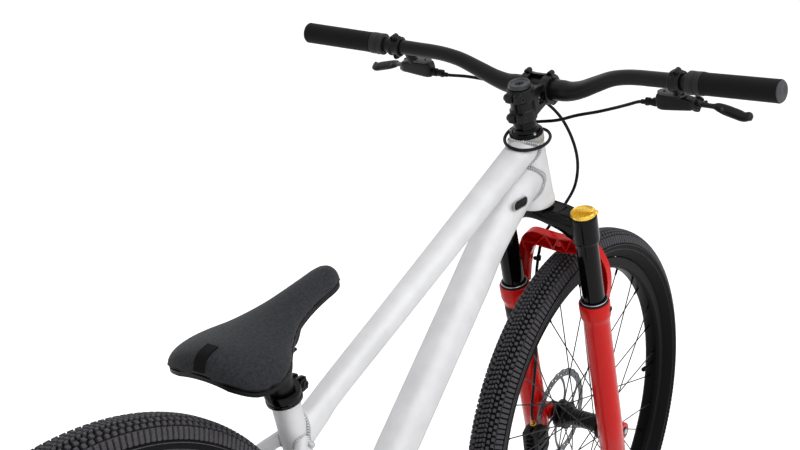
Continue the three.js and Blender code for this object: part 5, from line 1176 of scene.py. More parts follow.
def make_grips():
    start, along, length = grip_run()
    profile = [(11.4, 0.2), (15.6, 0), (16, 0.6), (16, 3), (15.7, 4.5)]
    profile += [(15.75, 16), (15.85, 50), (15.85, 90), (15.9, length - 5), (16, length - 3)]
    profile += [(15.6, length - 1.6), (14.6, length - 1.4)]
    rubber = lathe(profile, start, along, 56)
    plug = [(14.9, length - 2)]
    for radius in (14.2, 11.8, 9.4, 7, 4.6):
        plug += [(radius, length + 0.2), (radius - 0.5, length - 0.2), (radius - 1.0, length - 0.2)]
    plug += [(3.2, length + 0.2), (0.1, length + 0.2)]
    end_cap = lathe(plug, start, along, 56)
    collar_start = bar_point(258)
    collar_length = (bar_point(279.4) - collar_start).length
    ring_profile = [(11.4, 0), (16.2, 0), (16.6, 0.5), (16.6, 6.2), (16.0, 6.8), (16.0, 14.4), (16.6, 15),
                    (16.6, collar_length - 0.5), (16.2, collar_length), (11.4, collar_length)]
    collar = lathe(ring_profile, collar_start, along, 56, True)
    middle = collar_start + along * collar_length / 2
    low = middle + Vector((0, 0, -13.1))
    boss = rod(low + Vector((-5.5, 0, 0)), low + Vector((13.8, 0, 0)), 3.3, 28)
    eye = bolt(low + Vector((-5.5, 0, 0)), (-1, 0, 0), 3.0, 1.4, 0.55)
    line = lathe([(16.5, 0), (16.72, 0.2), (16.72, 0.9), (16.5, 1.1)], collar_start + along * 10.2, along, 56, True)
    for name, way in SIDES:
        stand_in(f"{name}_grip", "steering", [(on_side(rubber, way), "grip"), (on_side(end_cap, way), "cap")])
        stand_in(f"{name}_grip_collar", "steering", [
            (on_side(joined([collar, boss, line]), way), "collar"), (on_side(eye, way), "screw")])


# Brakes

LEVER_PIVOT = Vector((60, 251, 632))
LEVER_TIP = Vector((66, 317, 618))


def lever_axis():
    middle = bar_point(251)
    reach = (Vector((60, 0, 632)) - Vector((middle.x, 0, middle.z))).normalized()
    return -reach.cross(SIDE).normalized()


def make_brakes():
    axis = lever_axis()
    along = (bar_point(248) - bar_point(229)).normalized()
    rings, screws = [], []
    for start, length in ((229.2, 4.4), (243.2, 4.4)):
        rings.append(lathe([(11.4, 0), (14.9, 0), (15.5, 0.6), (15.5, length - 0.6), (14.9, length),
                            (11.4, length)], bar_point(start), along, 48, True))
    rings.append(lathe([(11.4, 0), (13.4, 0), (13.4, 10), (11.4, 10)], bar_point(233.4), along, 48, True))
    clamp_middle = bar_point(238.5)
    for lift in (-1, 1):
        seat = clamp_middle + Vector((-3, 0, lift * 15.4))
        rings.append(rod(seat + Vector((8, 0, 0)), seat + Vector((-2, 0, 0)), 4.6, 28))
        rings.append(block((10, 17, 5), Matrix.Translation(seat + Vector((3.5, 0, -lift * 1.6))), 1.2))
        screws.append(bolt(seat + Vector((-2, 0, 0)), (-1, 0, 0), 3.9, 3.2, 0.55))
    neck = oval_tube(smooth_stations([
        (clamp_middle + Vector((10, 0, -6)), 6.5, 9), (clamp_middle + Vector((17, -5, -14)), 7, 8),
        (Vector((52, 225, 640)), 8, 8)], 12), SIDE, 28)
    rows = [(193.5, 635, 7, 9), (196, 635, 9, 12.2), (203, 635, 10, 13.2), (218, 635.6, 10, 12.4),
            (234, 635.6, 9.4, 10.8), (246, 635, 8.4, 9), (251, 634.6, 6.4, 7)]
    body = oval_tube(smooth_stations([(Vector((53, y, z)), w, h) for y, z, w, h in rows], 36), UP, 40, 0.5)
    lid = plate([slot_outline(14, 8.4)], 3.2, placed(Vector((53, 217, 647.8)), (0, 1, 0), (-1, 0, 0)), 0.7)
    for y in (205, 229):
        screws.append(bolt(Vector((53, y, 649)), UP, 2.2, 1.2, 0.5, 18))
    fittings = lathe([(3.6, -20.5), (5.4, -20), (5.4, -13), (4.4, -12.4), (4.4, -9), (6.4, -8.4), (6.4, -1)],
                     Vector((53, 195, 630)), SIDE, 28)
    ears = []
    for way in (-1, 1):
        hub = LEVER_PIVOT + axis * way * 7.9
        ears.append(lathe([(6.2, -2), (7, -1.2), (7, 1.2), (6.2, 2)], hub, axis, 32))
        ears.append(oval_tube([(Vector((54, 238, 635)) + axis * way * 6.5, 5, 3.4),
                               (LEVER_PIVOT + axis * way * 7.6, 5.6, 2.2)], axis, 20, 0.8))
    pin = rod(LEVER_PIVOT - axis * 10.2, LEVER_PIVOT + axis * 10.2, 2.4, 20)
    screws.append(bolt(LEVER_PIVOT - axis * 9.6, -axis, 3, 1, 0.5, 18))
    screws.append(bolt(LEVER_PIVOT + axis * 9.6, axis, 3, 1, 0.5, 18))
    port = lathe([(4.6, 0), (4.9, 0.6), (4.9, 5), (4, 6), (4, 12)], Vector((53, 174.2, 628)), SIDE, 6)
    ferrule = lathe([(3, -7), (3.6, -6), (3.6, -0.4), (3, 0)], Vector((53, 173.9, 628)), SIDE, 20)
    adjuster = lathe([(3.4, 0), (3.4, 4.4), (2.8, 5)], LEVER_PIVOT + Vector((8.5, 6, -2)), (0.6, 0.8, 0), 16)
    bow = LEVER_PIVOT.lerp(LEVER_TIP, 0.4) + Vector((6.5, 0, 0))
    hook = LEVER_TIP + Vector((3.5, 6.3, 0))
    arm = oval_tube(smooth_stations([
        (LEVER_PIVOT, 3.4, 4.2), (LEVER_PIVOT.lerp(bow, 0.35), 3, 3.6), (LEVER_PIVOT.lerp(bow, 0.75), 2.7, 3.6),
        (bow, 3.0, 6.4), (bow.lerp(LEVER_TIP, 0.35), 3.3, 8), (bow.lerp(LEVER_TIP, 0.75), 3.4, 8),
        (LEVER_TIP, 3.4, 7.2), (hook, 3.4, 6.4), (hook + Vector((2, 1.5, -4)), 2.8, 4.6)], 60), axis, 32, 0.7)
    scoop_line = [bow + Vector((-3.1, 6, 0)), bow.lerp(LEVER_TIP, 0.5) + Vector((-3.5, 0, 0)),
                  LEVER_TIP + Vector((-3.0, -2, 0))]
    scoop = oval_tube(smooth_stations([(p, 0.8, h) for p, h in zip(scoop_line, (2.8, 6, 4.6))], 20), axis, 20)
    boss = lathe([(6.2, -4.9), (7, -4.2), (7, 4.2), (6.2, 4.9)], LEVER_PIVOT, axis, 32)
    for name, way in SIDES:
        stand_in(f"{name}_brake_master", "steering", [
            (on_side(fused(joined([*rings, neck, body, *ears]), 0.7, 2), way), "satin"), (on_side(lid, way), "cap"),
            (on_side(fittings, way), "nylon"), (on_side(joined(screws), way), "screw"),
            (on_side(joined([port, pin]), way), "screw"), (on_side(ferrule, way), "nylon"),
        ], 38)
        stand_in(f"{name}_brake_lever", f"{name}_brake_lever", [
            (on_side(joined([arm, boss, adjuster]), way), "satin"), (on_side(scoop, way), "machined")],
            50)


def make_hoses(looks):
    rear = tube(smooth_line(REAR_HOSE, 420), looks.hose_radius, 14)
    rear_piece = stand_in("rear_brake_hose", None, [(rear, "hose")], 60)
    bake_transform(rear_piece)
    front = tube(smooth_line(FRONT_HOSE, 260), looks.hose_radius, 14).moved(STEER)
    front_piece = stand_in("front_brake_hose", None, [(front, "hose")], 60)
    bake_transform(front_piece)
    sleeve = tube([HOSE_ENTRY + Vector((4, 3, 5)), HOSE_ENTRY - Vector((3, 1, 4))], 3.6, 16)
    piece("hose_entry_sleeve", "frame", [(sleeve, "nylon")])
    sleeve = [(2.6, -4), (4, -4), (4, 4), (2.6, 4)]
    clip = lathe(sleeve, Vector((60.5, 53, 309)), Vector((-0.32, 0.08, -0.9)), 20, True)
    clip.add(block((5, 8, 6), Matrix.Translation((58, 57, 309)), 0.8))
    piece("hose_clip", "lowers", [(clip.moved(STEER), "nylon")])


# Fork, in the steering frame


def turned(profile, left, sides=56, hollow=False):
    """A turned piece round the left leg's axis, or round the middle when left is 0."""
    forward = LEG_FORWARD if left else 0
    return lathe(profile, Vector((forward, left, 0)), UP, sides, hollow)


def make_crown():
    half = [(Vector((11, 80, 416)), 12, 16), (Vector((11, 73.5, 418)), 15, 19),
            (Vector((10.4, 62, 422)), 17.6, 20.4), (Vector((7.7, 48, 433)), 20.6, 16.8),
            (Vector((4, 26, 443)), 23, 12.4), (Vector((0, 0, 450.6)), 24, 9)]
    other = [(Vector((p.x, -p.y, p.z)), w, h) for p, w, h in half[:-1]][::-1]
    bridge = oval_tube(smooth_stations(half + other, 72), UP, 48, 0.55)
    clamp = [(17.6, 399), (20.4, 399), (21, 399.8), (21, 444.2), (20.4, 445), (17.6, 445)]
    clamps = both(turned(clamp, LEG_Y, 56, True))
    race = turned([(14.4, 446), (24, 446), (24, 459.2), (23.2, 460), (14.4, 460)], 0, 56, True)
    ridges = []
    for fore in (-1, 1):
        line = [Vector((p.x + fore * w * 0.62, p.y, p.z + h * 0.93)) for p, w, h in smooth_stations(half + other, 48)]
        ridges.append(tube(line[11:-11], 1.8, 10))
    steerer = turned([(14.2, 446), (14.2, 652)], 0, 40)
    cap = turned([(17.4, 445), (17.4, 446), (13, 447), (6, 447), (5, 445.6), (0.1, 445.4)], LEG_Y)
    stand_in("fork_crown", "steering", [
        (fused(joined([bridge, clamps, race, *ridges]), 1.3, 5).moved(STEER), "gloss"),
        (joined([steerer, cap]).moved(STEER), "satin")], 45)
    for name, side in SIDES:
        leg = turned([(16.4, 144), (17.5, 145), (17.5, 443.5), (16.4, 444.5)], LEG_Y * side)
        stand_in(f"{name}_stanchion", "steering", [(leg.moved(STEER), "gloss")])


def make_knob():
    dome = turned([(17.5, 445.6), (19.8, 445.9), (19.8, 449.4), (19.2, 450.6), (17.2, 451.6), (15.8, 450.4),
                   (14.6, 449.8), (0.1, 449.6)], -LEG_Y, 72)
    ribs = []
    for k in range(36):
        a = TAU * k / 36
        c, s = math.cos(a), math.sin(a)
        at = Vector((LEG_FORWARD + 19.7 * c, -LEG_Y + 19.7 * s, 447.6))
        ribs.append(block((0.7, 1.1, 2.6), placed(at, (c, s, 0), (-s, c, 0)), 0.2))
    fin = oval_tube([(Vector((x, 0, z)), w, h) for x, z, w, h in (
        (-17.6, 449.8, 1.6, 2), (-12, 451.2, 3.1, 3.3), (0, 451.8, 3.6, 3.5), (12, 451.2, 3.1, 3.3),
        (17.6, 449.8, 1.6, 2))], UP, 24, 0.7)
    tab = block((8, 9, 6), Matrix.Translation((19.6, 0, 450)), 1.8)
    facing = Matrix.Translation((LEG_FORWARD, -LEG_Y, 0)) @ Matrix.Rotation(math.radians(-75), 4, "Z")
    fin, tab = fin.moved(facing), tab.moved(facing)
    stand_in("damping_knob", "damping_knob", [(joined([dome, fin, tab, *ribs]).moved(STEER), "gold")],
          45)


def arch_stations():
    shares = [(0.98, 0, 0, 0.8), (0.98, 0.37, 0.73, 0.85), (0.9, 0.69, 1, 0.9), (0.66, 1.01, 1, 0.98),
              (0.349, 1, 1, 1)]
    half = [(Vector((37 + 15 * f, 74.5 * y, 276 + 81 * u)), 13 * h, 8) for y, u, f, h in shares]
    middle = (Vector((52, 0, 355)), 13, 8)
    other = [(Vector((p.x, -p.y, p.z)), h, d) for p, h, d in half][::-1]
    return smooth_stations(half + [middle] + other, 96)


def make_arch():
    stations = arch_stations()
    rings, marks = [], []
    for i, (at, tall, _) in enumerate(stations):
        along = (stations[min(i + 1, 96)][0] - stations[max(i - 1, 0)][0]).normalized()
        out = Vector((0, along.z, -along.y)).normalized()
        lean = Vector((1, 0, 0))
        wide = 1.0 if abs(at.y) < 60 else 0.8
        section = [(8, 0.82), (8, -0.82), (6.6, -1), (-8 * wide, -1), (-8 * wide, -0.82), (5, -0.8),
                   (5, 0.8), (-8.6 * wide, 0.82), (-8.6 * wide, 1), (6.6, 1)]
        rings.append([at + lean * f + out * tall * h for f, h in section])
        marks.append((at, out, tall))
    shape = loft(rings)
    corners = [16, 23, 31, 39, 44, 48, 52, 57, 65, 73, 80]
    for number, (low, high) in enumerate(zip(corners, corners[1:])):
        way = 0.86 if number % 2 else -0.86
        start = marks[low][0] + marks[low][1] * marks[low][2] * way
        end = marks[high][0] - marks[high][1] * marks[high][2] * way
        run = end - start
        run.x = 0
        middle = (start + end) / 2 + Vector((-1.4, 0, 0))
        matrix = placed(middle, run, (1, 0, 0))
        shape.add(block((run.length, 13.4, 3.0), matrix, 0.5))
    shape.add(lathe([(4.6, -7.8), (5, -7.4), (5, 6), (1.8, 6), (1.6, -6), (0.1, -6)],
                    Vector((52, 0, 356)), Vector((1, 0, 0)), 28))
    return shape


def make_lowers():
    leg = [(16, -22), (19.6, -21.6), (21, -19.8), (21.1, 60), (21.4, 250), (21.8, 254), (23.6, 259), (24.8, 263),
           (25, 266), (25, 284.8), (24.4, 286.4), (23.2, 287), (18.3, 287), (18.3, 38)]
    legs = both(turned(leg, LEG_Y, 64))
    feet = Shape()
    lug = [(7.7, 55.4), (13.2, 55.4), (14.6, 57), (14.6, 80.6), (13.2, 82), (7.7, 82)]
    feet.add(lathe(lug, Vector((FORK_OFFSET, 0, 0)), SIDE, 48, True))
    feet.add(oval_tube([(Vector((8, 70, 2)), 13, 17), (Vector((26, 69.5, 1)), 12, 14.6),
                        (Vector((36, 69, 0.4)), 11.6, 12.4)], UP, 32, 0.7))
    for up in (-10, 4, 18):
        outline = [(0, 0), (20, -3), (0, 30)]
        feet.add(plate([outline], 3, upright(Vector((28, 72, up - 6))), 0.5))
    posts = Shape()
    for up, reach in ((27, -27), (-13, -27)):
        posts.add(oval_tube([(Vector((4, 70, up)), 8, 8), (Vector((-12, 62, up)), 6.4, 6.4),
                             (Vector((reach, 53, up)), 5.6, 6)], UP, 28))
    fins = Shape()
    for up in (4, 16):
        matrix = placed(Vector((-26, 56, up)), (0.96, 0.28, 0), (0, 0, 1))
        fins.add(plate([[(0, 0), (26, 3), (26, -3)]], 3, matrix, 0.5))
    foot_nut = turned([(9, -24.6), (9.4, -24), (9.4, -20)], LEG_Y, 6)
    dial = turned([(7.4, -29), (8, -28.4), (8, -24), (7, -22)], -LEG_Y, 32)
    bands = turned([(21.3, 224), (21.55, 224.4), (21.7, 249.6), (21.5, 250)], LEG_Y, 56, True)
    bands.add(block((10, 7, 8), Matrix.Translation((LEG_FORWARD + 6, -LEG_Y - 22, 273)), 1.6))
    red = joined([legs, both(feet), posts, fins, make_arch()])
    stand_in("fork_lowers", "lowers", [
        (red.moved(STEER), "red"), (joined([foot_nut, dial]).moved(STEER), "screw"),
        (bands.moved(STEER), "nylon")], 40)
    for name, side in SIDES:
        wiper = turned([(17.8, 284), (22.6, 284), (23, 287.5), (22.4, 289), (20.4, 291.4), (19.4, 292.3),
                        (17.8, 292.2)], LEG_Y * side, 56, True)
        spring = tube([Vector((LEG_FORWARD + 20.9 * math.cos(TAU * k / 60),
                               LEG_Y * side + 20.9 * math.sin(TAU * k / 60), 291.1)) for k in range(60)], 0.7, 8, True)
        stand_in(f"{name}_wiper_seal", "lowers", [(wiper.moved(STEER), "nylon"), (spring.moved(STEER), "steel")])
    axle = lathe([(7, -84), (7.5, -83.4), (7.5, 84), (11, 84.2), (11, 88.4), (10.4, 89), (5, 89), (4.6, 86),
                  (0.1, 86)], Vector((FORK_OFFSET, 0, 0)), SIDE, 40).moved(STEER)
    end = lathe([(3, -84.4), (5, -84.2), (5.4, -83.8)], Vector((FORK_OFFSET, 0, 0)), SIDE, 6).moved(STEER)
    stand_in("front_axle", "lowers", [(axle, "screw"), (end, "steel")])


def caliper(matrix, radial, wide, run):
    """A two-part brake caliper: x out from the axle, y round the rotor, z along the axle."""
    gap = 4
    a, b = radial / 2, run / 2
    outline = [(-a, -b * 0.62), (-a * 0.7, -b * 0.9), (a * 0.3, -b), (a, -b * 0.74), (a, b * 0.74),
               (a * 0.3, b), (-a * 0.7, b * 0.9), (-a, b * 0.62)]
    thick = (wide - gap) / 2
    body = Shape()
    for side in (-1, 1):
        body.add(plate([outline], thick, matrix @ Matrix.Translation((0, 0, side * (gap + thick) / 2)), 1.4))
    body.add(block((a * 0.8, b * 1.5, gap + 4), matrix @ Matrix.Translation((a * 0.58, 0, 0)), 0.6))
    for side in (-1, 1):
        for way in (-1, 0, 1):
            ridge = matrix @ Matrix.Translation((a * 0.1, way * b * 0.5, side * (wide / 2 + 0.6)))
            body.add(block((a * 1.3, 2.6, 3), ridge, 0.7))
    for way in (-2, -1, 0, 1, 2):
        fin = matrix @ Matrix.Translation((a * 1.1, way * b * 0.3, 0))
        body.add(block((a * 0.5, 1.5, wide * 0.4), fin, 0.4))
    screws, metal = Shape(), Shape()
    for way in (-1, 1):
        for side in (-1, 1):
            spot = matrix @ Vector((a * 0.62, way * b * 0.62, side * (wide / 2 - 0.4)))
            screws.add(bolt(spot, matrix.to_3x3() @ Vector((0, 0, side)), 3.4, 1.6))
    for side in (-1, 1):
        axis = matrix.to_3x3() @ Vector((0, 0, side))
        metal.add(lathe([(9.6, 0), (9.6, 0.5), (8.8, 0.9), (5, 0.9), (4.4, 0.3), (0.1, 0.3)],
                        matrix @ Vector((-a * 0.1, 0, side * (wide / 2 - 0.8))), axis, 40))
    return body, screws, metal


def make_calipers():
    angle = math.radians(175)
    out, round_ = Vector((math.cos(angle), 0, math.sin(angle))), Vector((-math.sin(angle), 0, math.cos(angle)))
    centre = Vector((FORK_OFFSET, 44, 0)) + out * 82
    front = placed(centre, out, round_)
    body, screws, metal = caliper(front, 37, 29.6, 53)
    fitting = lathe([(5.2, 0), (5.6, 0.4), (5.6, 5), (4.6, 5.6), (4.6, 8), (0.1, 8.6)],
                    Vector((-36.2, 46.4, 33)), Vector((-0.1, 0, 1)), 28)
    knob = lathe([(5.6, 0), (6.2, 0.6), (6.2, 5.6), (5.4, 6.4), (0.1, 6.6)], centre + out * 14 - round_ * 4,
                 Vector((-1, 0, 0)), 24)
    bleed = lathe([(3, 0), (3, 5), (2.2, 6)], centre - SIDE * 8 + round_ * -26, Vector((0, 0, -1)), 6)
    stand_in("front_brake_caliper", "lowers", [
        (body.moved(STEER), "satin"), (joined([screws, bleed]).moved(STEER), "screw"),
        (metal.moved(STEER), "screw"), (fitting.moved(STEER), "brass"), (knob.moved(STEER), "nylon")])
    away = Vector((34.7, 0, 65.3))
    out = away.normalized()
    rear = placed(REAR_AXLE + away + SIDE * 51.5, out, Vector((-out.z, 0, out.x)))
    body, screws, metal = caliper(rear, 22, 29.6, 39.6)
    along = Vector((-out.z, 0, out.x))
    for way in (-1, 1):
        start = REAR_AXLE + away + SIDE * 58 + along * way * 14 - out * 3
        body.add(rod(start, start + SIDE * 8.2 - out * 4, 4.2, 24))
        screws.add(bolt(start + SIDE * 7 - out * 4, SIDE, 3.8, 1.4))
    stand_in("rear_brake_caliper", "frame", [(body, "satin"), (screws, "screw"), (metal, "screw")])


# Wheels

TYRE_HALF = [(334, 0), (333.7, 7.5), (331.5, 14.5), (327.5, 20.5), (321, 25.6), (312, 28.5), (302, 27),
             (293, 20), (287, 13.5), (286.3, 11.4)]


def tyre_curve():
    """Places down one side of the tyre: distance from the middle, radius, side and the way out."""
    steps = 90
    line = smooth_line([(r, y, 0) for r, y in TYRE_HALF], steps)
    rows, run = [], 0.0
    for i, point in enumerate(line):
        after, before = line[min(i + 1, steps)], line[max(i - 1, 0)]
        along = (after - before).normalized()
        if i:
            run += (point - line[i - 1]).length
        rows.append((run, point.x, point.y, along.y, -along.x))
    return rows


def tyre_place(curve, across, lift, angle, axle):
    """A point on the tyre: across from its middle, lifted above the moulded surface."""
    radius, side, out_r, out_y = between(curve, abs(across))
    radius += out_r * lift
    side = math.copysign(side + out_y * lift, across)
    return axle + Vector((radius * math.cos(angle), side, radius * math.sin(angle)))


def knob_block(curve, axle, across, angle, half_wide, half_run, skew, low, high):
    """One tread knob, with chamfered corners and a little draft."""
    radius = between(curve, abs(across))[0]
    corner = min(half_wide, half_run) * 0.26
    outline = [(half_wide, half_run - corner), (half_wide - corner, half_run), (corner - half_wide, half_run),
               (-half_wide, half_run - corner), (-half_wide, corner - half_run), (corner - half_wide, -half_run),
               (half_wide - corner, -half_run), (half_wide, corner - half_run)]
    rings = []
    for lift, size in ((low, 1.08), (high - 0.45, 1.0), (high, 0.86)):
        points = []
        for u, v in outline:
            u, v = u * size, v * size
            points.append(tyre_place(curve, across + u, lift, angle + (v + u * skew) / radius, axle))
        rings.append(points)
    return loft(rings)


TREAD_ROWS = [
    # across, half width, half length, count, skew, share of a step that it is shifted by
    (31.8, 7.2, 2.8, 252, 0.06, 0.0), (20.2, 2.5, 2.7, 216, 0.0, 0.0), (13.2, 2.5, 2.7, 216, 0.0, 0.5),
    (5.8, 2.1, 2.2, 280, 0.5, 0.0),
]


def make_tyre(axle, looks):
    curve = tyre_curve()
    high = looks.knob_height
    section = []
    for run, radius, side, out_r, out_y in curve[::2]:
        drop = high * (1 if run < 37 else max(0, 1 - (run - 37) / 3.5))
        section.append((radius - out_r * drop, side - out_y * drop))
    inner = [(288.5, 9.5), (296, 17.5), (309, 24), (322, 20), (328.5, 0)]
    profile = section + inner
    profile += [(r, -y) for r, y in inner[:-1]][::-1] + [(r, -y) for r, y in section[1:]][::-1]
    casing = lathe(profile, axle, SIDE, 240, True)
    rubber = Shape()
    for across, wide, length, count, skew, shift in TREAD_ROWS:
        for side in (-1, 1):
            for k in range(count):
                angle = TAU * (k + shift + (0.5 if side > 0 else 0)) / count
                rubber.add(knob_block(curve, axle, side * across, angle, wide, length, skew * side, -high - 0.3, 0))
    for k in range(280):
        rubber.add(knob_block(curve, axle, 0, TAU * (k + 0.25) / 280, 2.0, 2.2, 0.4, -high - 0.3, 0))
    lines = []
    for side in (-1, 1):
        for across, lift in ((23.8, -high + 0.5), (42, 0.3), (50, 0.1)):
            radius, y, out_r, out_y = between(curve, across)
            radius, y = radius + out_r * lift, side * (y + out_y * lift)
            line = [(radius - 0.5, y - 0.6), (radius + 0.4, y), (radius - 0.5, y + 0.6)]
            lines.append(lathe(line, axle, SIDE, 240, True))
    return casing, joined([rubber, *lines])


def make_rim(axle):
    half = [(266, 8.5), (267.4, 11.6), (271, 14.5), (276, 14.1), (285.2, 14.5), (286, 13.9), (286, 12.9),
            (284.4, 12.4), (283, 12.9), (280.5, 12.6), (280.2, 8), (277, 6)]
    return lathe(half + [(r, -y) for r, y in half][::-1], axle, SIDE, 240, True)


def make_spokes(axle, left, right):
    wires, nipples = Shape(), Shape()
    for k in range(32):
        side = 1 if k % 2 == 0 else -1
        lead = 1 if (k // 2) % 2 == 0 else -1
        rim_angle = TAU * k / 32
        hub_angle = rim_angle + lead * math.radians(67.5)
        flange = left if side > 0 else right
        y = flange + lead * 1.7
        start = axle + Vector((21.4 * math.cos(hub_angle), y, 21.4 * math.sin(hub_angle)))
        end = axle + Vector((265.6 * math.cos(rim_angle), side * 4.4, 265.6 * math.sin(rim_angle)))
        wires.add(tube([start, end], 1.0, 8))
        toward = (start - end).normalized()
        nipples.add(tube([end - toward * 2, end + toward * 9, end + toward * 12], [2.1, 1.9, 1.3], 10))
        head = axle + Vector((21.4 * math.cos(hub_angle), 0, 21.4 * math.sin(hub_angle)))
        nipples.add(rod(head + SIDE * (y - lead * 0.6), head + SIDE * (flange - lead * 2.6), 1.7, 10))
    valve = axle + Vector((266 * math.cos(0.1), 0, 266 * math.sin(0.1)))
    inward = (axle - valve).normalized()
    nipples.add(tube([valve, valve + inward * 24, valve + inward * 26, valve + inward * 34], [3.1, 3.1, 4.1, 4.1], 16))
    return wires, nipples


FRONT_HUB = [
    (7.7, -54.7), (11.6, -54.7), (12, -54.2), (12, -47), (13.4, -45), (13.6, -41), (23.4, -38.8), (24, -38.2),
    (24, -35.8), (23.4, -35.2), (16, -32.8), (15, -29), (14.8, 0), (15, 20), (16, 24), (23.4, 26.2), (24, 26.8),
    (24, 29.2), (23.4, 29.8), (15.4, 32), (15.4, 38), (24.6, 40), (25, 40.5), (25, 43), (17, 43.05), (17, 45.4),
    (12, 46.2), (12, 54.2), (11.6, 54.7), (7.7, 54.7)]
REAR_HUB = [
    (5.2, -67.2), (9.6, -67.2), (10, -66.8), (10, -53), (15.6, -51.4), (16.4, -50.6), (16.4, -37), (15, -35),
    (15, -28), (23.4, -25.8), (24, -25.2), (24, -22.8), (23.4, -22.2), (17.6, -20), (17, -16), (16.8, 3),
    (17, 21), (17.6, 25.8), (23.4, 28.2), (24, 28.8), (24, 31.2), (23.4, 31.8), (15.4, 34), (15.4, 45.6),
    (24.6, 47.5), (25, 48), (25, 50.5), (17, 50.55), (17, 52.9), (10, 54), (10, 66.8), (9.6, 67.2), (5.2, 67.2)]


def make_rotor(axle, y):
    matrix = upright(axle + SIDE * y)
    rim, slots = [], []
    for k in range(288):
        a = TAU * k / 288
        rim.append(polar(79.3 + 0.7 * math.cos(24 * a), a))
    for k in range(48):
        a = TAU * (k + 0.5) / 48
        slots.append(slot_outline(1.9, 1.15, polar(76 if k % 2 else 70.4, a), a + 0.9, 5))
    shape = plate([rim, circle(66.4, 144), *slots], 1.8, matrix, 0.12)
    shape.add(plate([circle(25, 72), circle(17, 60)] + [
        circle(2.4, 14, polar(21, TAU * k / 6 + 0.5)) for k in range(6)], 1.8, matrix, 0.12))
    screws = Shape()
    for k in range(6):
        outer, inner = [], []
        for i in range(9):
            share = i / 8
            radius = mixed(23.6, 67.4, share)
            a = TAU * k / 6 + math.radians(34) * share
            half = (3.9 - 1.4 * math.sin(math.pi * share)) / radius
            outer.append(polar(radius, a + half))
            inner.append(polar(radius, a - half))
        shape.add(plate([inner + outer[::-1]], 1.6, matrix, 0.12))
        x, z = polar(21, TAU * k / 6 + 0.52)
        screws.add(bolt(axle + Vector((x, y + 0.9, z)), SIDE, 3.6, 1.1, 0.5, 18))
    return shape, screws


def make_wheels(looks):
    for name, axle, profile, left, right in (
            ("front", FRONT_AXLE, FRONT_HUB, 28, -37), ("rear", REAR_AXLE, REAR_HUB, 30, -24)):
        body = f"{name}_wheel"
        casing, rubber = make_tyre(axle, looks)
        # The casing's darker rubber is painted shade between the knobs, and the knobs' paler rubber is a painted
        # highlight on their tops
        stand_in(f"{name}_tyre", body, [(casing, "sidewall"), (rubber, "tread")], 30)
        stand_in(f"{name}_rim", body, [(make_rim(axle), "rim")], 30)
        wires, nipples = make_spokes(axle, left, right)
        stand_in(f"{name}_spokes", body, [(wires, "satin"), (nipples, "rim")])
        hub = lathe(profile, axle, SIDE, 64, True)
        low, high = (-30, 22) if name == "front" else (-15, 20)
        lines = []
        for k in range(9):
            y = mixed(low, high, k / 8)
            radius = 15.15 if name == "front" else 17.1
            lines.append(lathe([(radius - 0.6, y - 0.3), (radius, y), (radius - 0.6, y + 0.3)], axle, SIDE, 48, True))
        stand_in(f"{name}_hub", body, [(hub, "satin"), (joined(lines), "steel")])
        rotor, screws = make_rotor(axle, ROTOR_Y[name])
        stand_in(f"{name}_rotor", body, [(rotor, "rotor"), (screws, "screw")])
    nuts, thread = Shape(), rod(REAR_AXLE - SIDE * 80.8, REAR_AXLE + SIDE * 80.8, 4.9, 24)
    for side in (-1, 1):
        nuts.add(lathe([(8.2, 73.9), (9, 74.4), (9, 79), (8, 80), (5, 80.2)], REAR_AXLE, SIDE * side, 6))
        nuts.add(lathe([(8.8, 73.6), (9.4, 73.6), (9.4, 74.6), (8.8, 74.6)], REAR_AXLE, SIDE * side, 40, True))
    stand_in("rear_axle", "frame", [(joined([nuts, thread]), "screw")])


# Drive


def toothed(teeth, root, tip):
    """The outline of a sprocket, with a tooth between two pins."""
    outline = []
    for k in range(teeth * 10):
        a = TAU * k / (teeth * 10)
        outline.append(polar(mixed(root, tip, (0.5 - 0.5 * math.cos(teeth * a)) ** 0.8), a))
    return outline


def chain_path(count):
    """Pin places round the ring and the cog, seen from the left."""
    ring_at, cog_at = Vector((BOTTOM_BRACKET.x, BOTTOM_BRACKET.z)), Vector((REAR_AXLE.x, REAR_AXLE.z))
    ring_r, cog_r = 56.7, 26.5
    away = cog_at - ring_at
    base = math.atan2(away.y, away.x)
    lean = math.acos((ring_r - cog_r) / away.length)
    points = []
    for k in range(61):
        a = base + lean + (TAU - 2 * lean) * k / 60
        points.append(ring_at + Vector((math.cos(a), math.sin(a))) * ring_r)
    for k in range(31):
        a = base - lean + 2 * lean * k / 30
        points.append(cog_at + Vector((math.cos(a), math.sin(a))) * cog_r)
    points.append(points[0])
    lengths = [0.0]
    for a, b in zip(points, points[1:]):
        lengths.append(lengths[-1] + (b - a).length)
    pins, k = [], 0
    for i in range(count):
        run = lengths[-1] * i / count
        while lengths[k + 1] < run:
            k += 1
        pins.append(points[k].lerp(points[k + 1], (run - lengths[k]) / (lengths[k + 1] - lengths[k])))
    return pins


